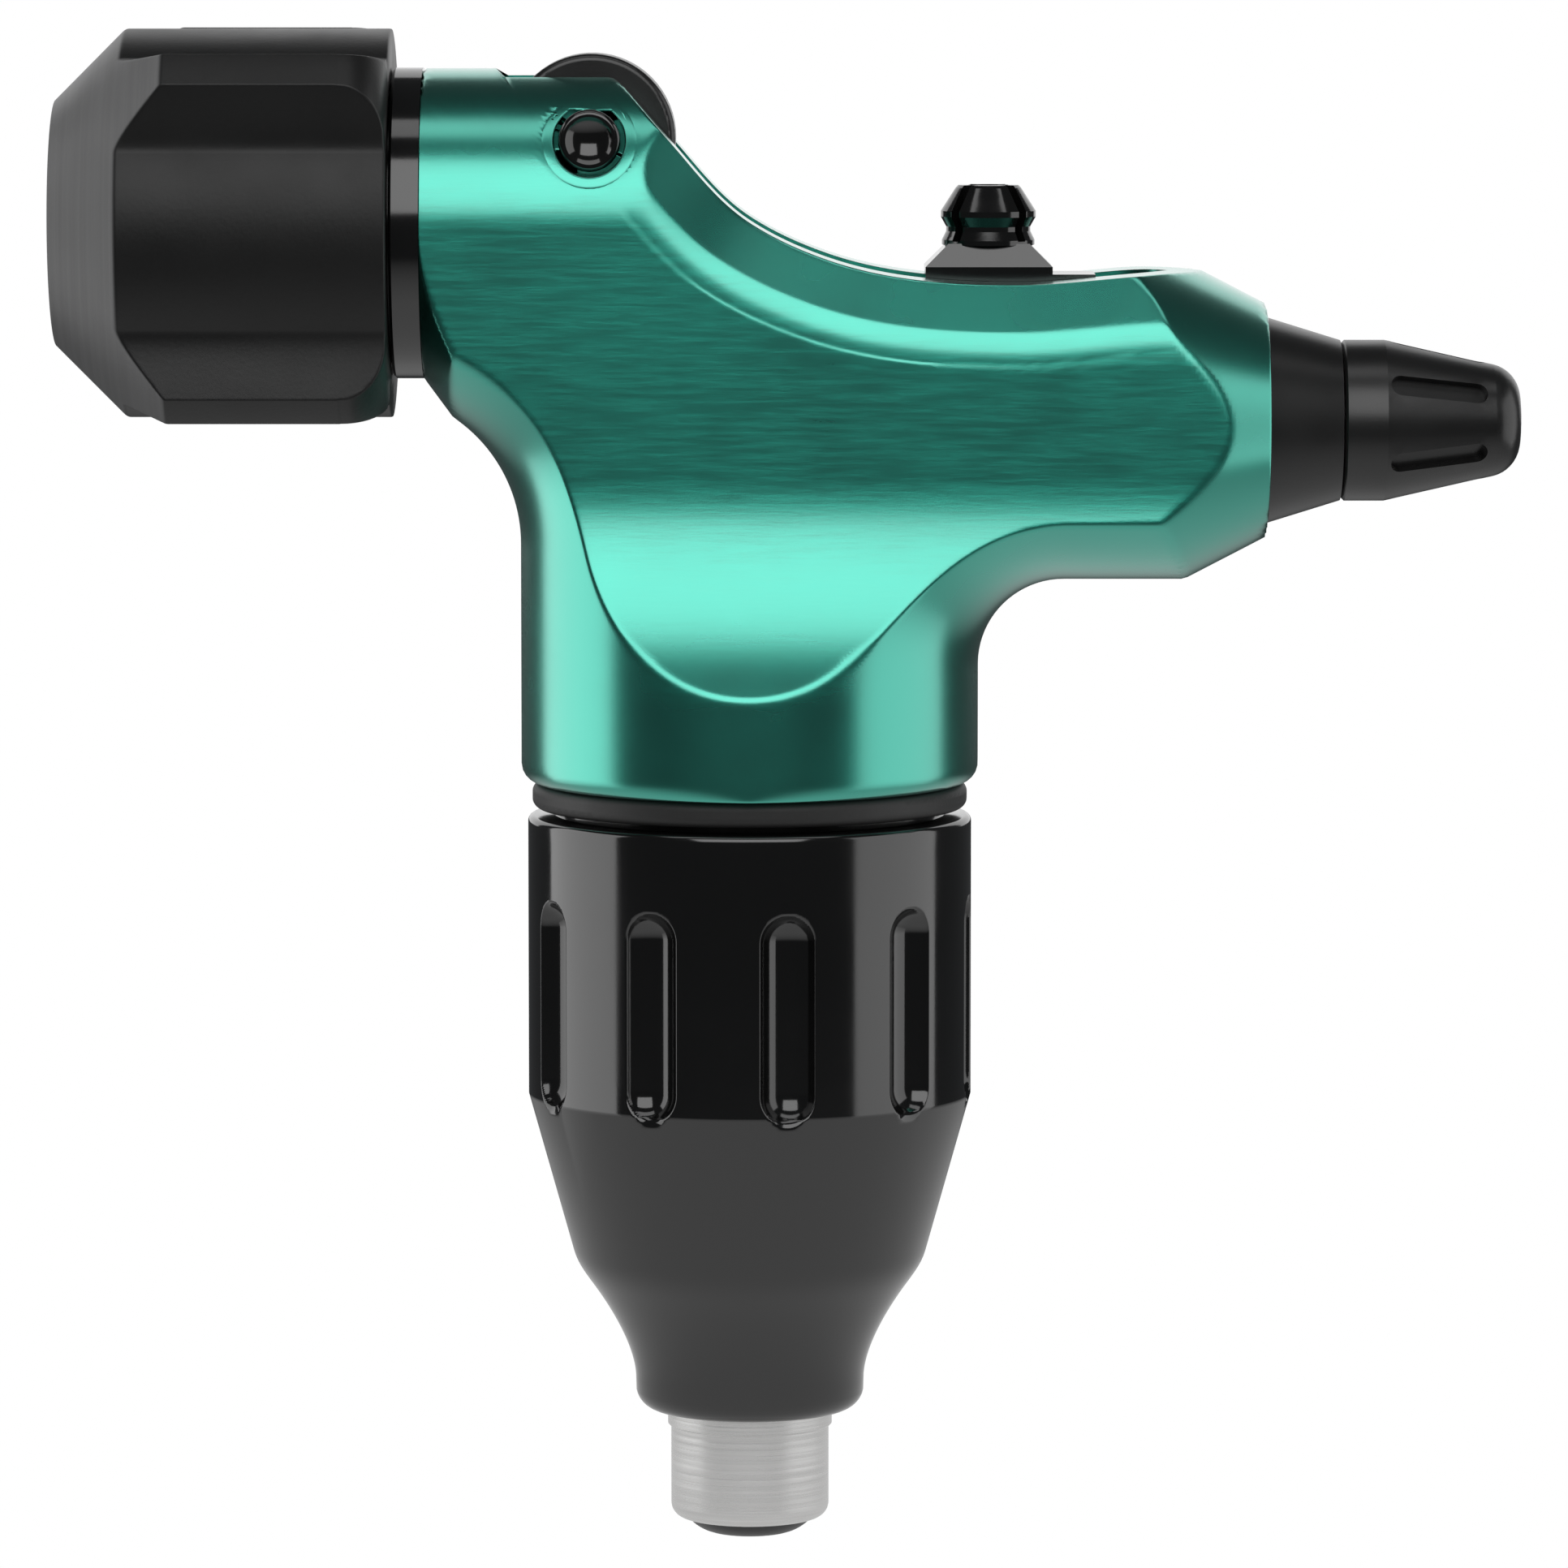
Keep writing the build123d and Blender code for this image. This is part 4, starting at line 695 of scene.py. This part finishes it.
def turned_metal(name, colour, roughness, bump):
    """Bare metal turned on a lathe about a vertical axis: fine rings in colour, gloss and height."""
    material, tree, shader, place = new_finish(name, colour, 1.0, roughness)
    rings = add_group(tree, TURNED, place, "Line Scale", 1.0)
    add_tint(tree, shader, rings.outputs["Height"], [0.72 * c for c in colour], colour)
    gloss = add_range(tree, rings.outputs["Height"], 0.1, 0.6, roughness - 0.06, roughness + 0.12)
    tree.links.new(gloss, shader.inputs["Roughness"])
    add_bump(tree, shader, rings.outputs["Height"], bump, 0.00003)
    return material


FINISHES = {
    "green_anodised": green_anodised(),
    "matte_black": knob_finish(),
    "gloss_black": black_finish("gloss_black", (0.004, 0.004, 0.004), 0.11, 0.025, 1.75, 9000.0, 0.03),
    "satin_black": black_finish("satin_black", (0.007, 0.007, 0.007), 0.3, 0.04, 1.6, 6000.0, 0.15),
    "rubber": black_finish("rubber", (0.014, 0.014, 0.014), 0.55, 0.06, 1.5, 5200.0, 0.3),
    "black_plastic": black_finish("black_plastic", (0.012, 0.012, 0.012), 0.4, 0.06, 1.5, 5200.0, 0.2),
    "red_wire": black_finish("red_wire", (0.4, 0.02, 0.015), 0.4, 0.05, 1.5, 4000.0, 0.1),
    "black_wire": black_finish("black_wire", (0.015, 0.015, 0.015), 0.4, 0.05, 1.5, 4000.0, 0.1),
    "magnet": black_finish("magnet", (0.16, 0.16, 0.17), 0.35, 0.06, 1.8, 5000.0, 0.2),
    "copper": turned_metal("copper", (0.72, 0.3, 0.16), 0.3, 0.3),
    "nickel": turned_metal("nickel", (0.9, 0.895, 0.885), 0.26, 0.22),
    "tool_steel": turned_metal("tool_steel", (0.5, 0.5, 0.51), 0.25, 0.15),
    "bearing_steel": turned_metal("bearing_steel", (0.6, 0.6, 0.61), 0.15, 0.1),
    "spring_steel": turned_metal("spring_steel", (0.5, 0.49, 0.48), 0.25, 0.1),
    "motor_steel": turned_metal("motor_steel", (0.55, 0.55, 0.56), 0.3, 0.15),
    "clear_aluminium": turned_metal("clear_aluminium", (0.72, 0.72, 0.73), 0.3, 0.15),
    "brass": turned_metal("brass", (0.75, 0.52, 0.22), 0.25, 0.15),
    "bronze": turned_metal("bronze", (0.5, 0.32, 0.18), 0.32, 0.15),
    "gold_contact": turned_metal("gold_contact", (0.9, 0.66, 0.3), 0.2, 0.1),
}


def finish_nodes():
    """Gives each CAD node the finish that the record names for it."""
    for part in frame["record"]["subparts"]:
        node = nodes[part["node"]]
        for slot in node.material_slots:
            slot.material = FINISHES[part["material_slot"]]


# ---------------------------------------------------------------- stage, camera, lights
TARGET = (0.0379, 0.0, -0.02937)


def floor_finish():
    """Pale floor: plain white to the eye; in reflections a bright patch round the foot that fades out."""
    material = bpy.data.materials.new("pale_floor")
    material.use_nodes = True
    tree = material.node_tree
    tree.nodes.remove(tree.nodes["Principled BSDF"])
    seen = tree.nodes.new("ShaderNodeEmission")
    seen.inputs["Color"].default_value = (1, 1, 1, 1)
    mirrored = tree.nodes.new("ShaderNodeEmission")
    place = tree.nodes.new("ShaderNodeTexCoord").outputs["Object"]
    centred = tree.nodes.new("ShaderNodeMapping")
    centred.inputs["Location"].default_value = (-0.038, 0, 0.07)
    tree.links.new(place, centred.inputs["Vector"])
    away = tree.nodes.new("ShaderNodeVectorMath")
    away.operation = "LENGTH"
    tree.links.new(centred.outputs["Vector"], away.inputs[0])
    near = add_range(tree, away.outputs["Value"], 0.16, 0.05)
    mirrored.inputs["Strength"].default_value = 0.62
    faded = tree.nodes.new("ShaderNodeMixShader")
    tree.links.new(near, faded.inputs["Fac"])
    tree.links.new(tree.nodes.new("ShaderNodeBsdfTransparent").outputs[0], faded.inputs[1])
    tree.links.new(mirrored.outputs[0], faded.inputs[2])
    mix = tree.nodes.new("ShaderNodeMixShader")
    tree.links.new(tree.nodes.new("ShaderNodeLightPath").outputs["Is Camera Ray"], mix.inputs["Fac"])
    tree.links.new(faded.outputs[0], mix.inputs[1])
    tree.links.new(seen.outputs[0], mix.inputs[2])
    tree.links.new(mix.outputs[0], tree.nodes["Material Output"].inputs["Surface"])
    return material


def add_floor():
    """A pale square that the object stands on, a hair under its lowest point."""
    low = cad_box[0][2] - 0.0002
    half = 15.0
    mesh = bpy.data.meshes.new("studio_floor")
    corners = [(-half, -half, low), (half, -half, low), (half, half, low), (-half, half, low)]
    mesh.from_pydata(corners, [], [(0, 1, 2, 3)])
    mesh.materials.append(floor_finish())
    floor = bpy.data.objects.new("studio_floor", mesh)
    bpy.context.scene.collection.objects.link(floor)


def aim(obj, target=TARGET):
    """Turns a lamp or camera so that it looks at target."""
    away = obj.location - Vector(target)
    obj.rotation_euler = away.to_track_quat("Z", "Y").to_euler()


def around(azimuth, elevation, distance):
    """A point seen from the target at azimuth, from -Y towards +X, and elevation, in degrees."""
    turn, lift = math.radians(azimuth), math.radians(elevation)
    flat = distance * math.cos(lift)
    return (
        TARGET[0] + flat * math.sin(turn),
        TARGET[1] - flat * math.cos(turn),
        TARGET[2] + distance * math.sin(lift),
    )


def add_softbox(name, place, size, brightness):
    """A rectangular soft light of (width, height), as bright all over as brightness says."""
    data = bpy.data.lights.new(name, "AREA")
    data.shape = "RECTANGLE"
    data.size, data.size_y = size
    data.energy = brightness * math.pi * size[0] * size[1]
    lamp = bpy.data.objects.new(name, data)
    lamp.location = place
    bpy.context.scene.collection.objects.link(lamp)
    aim(lamp)


def add_studio():
    """Camera in front, looking a little down; soft boxes in front, above, at both sides and behind."""
    data = bpy.data.cameras.new("camera")
    data.lens, data.sensor_width, data.clip_start = 205.0, 36.0, 0.01
    camera = bpy.data.objects.new("camera", data)
    camera.location = (0.0379, -0.4658, 0.0171)
    bpy.context.scene.collection.objects.link(camera)
    aim(camera)
    bpy.context.scene.camera = camera
    world = bpy.data.worlds.new("studio")
    world.use_nodes = True
    world.node_tree.nodes["Background"].inputs["Color"].default_value = (0.05, 0.052, 0.054, 1)
    bpy.context.scene.world = world
    bpy.context.scene.view_settings.view_transform = "Standard"
    add_softbox("front_box", around(0, 31, 0.9), (0.9, 0.66), 2.1)
    add_softbox("top_strip", around(0, 77, 0.8), (0.9, 0.22), 1.3)
    add_softbox("left_box", around(-99, 3, 0.8), (0.8, 1.0), 1.6)
    add_softbox("right_box", around(84, 3, 0.8), (0.86, 1.0), 1.2)
    add_softbox("back_box", around(180, 20, 1.0), (1.6, 0.8), 1.0)


finish_nodes()
make_body(FINISHES["green_anodised"])
make_housing(FINISHES["gloss_black"])
make_knob(FINISHES["matte_black"])
add_floor()
add_studio()
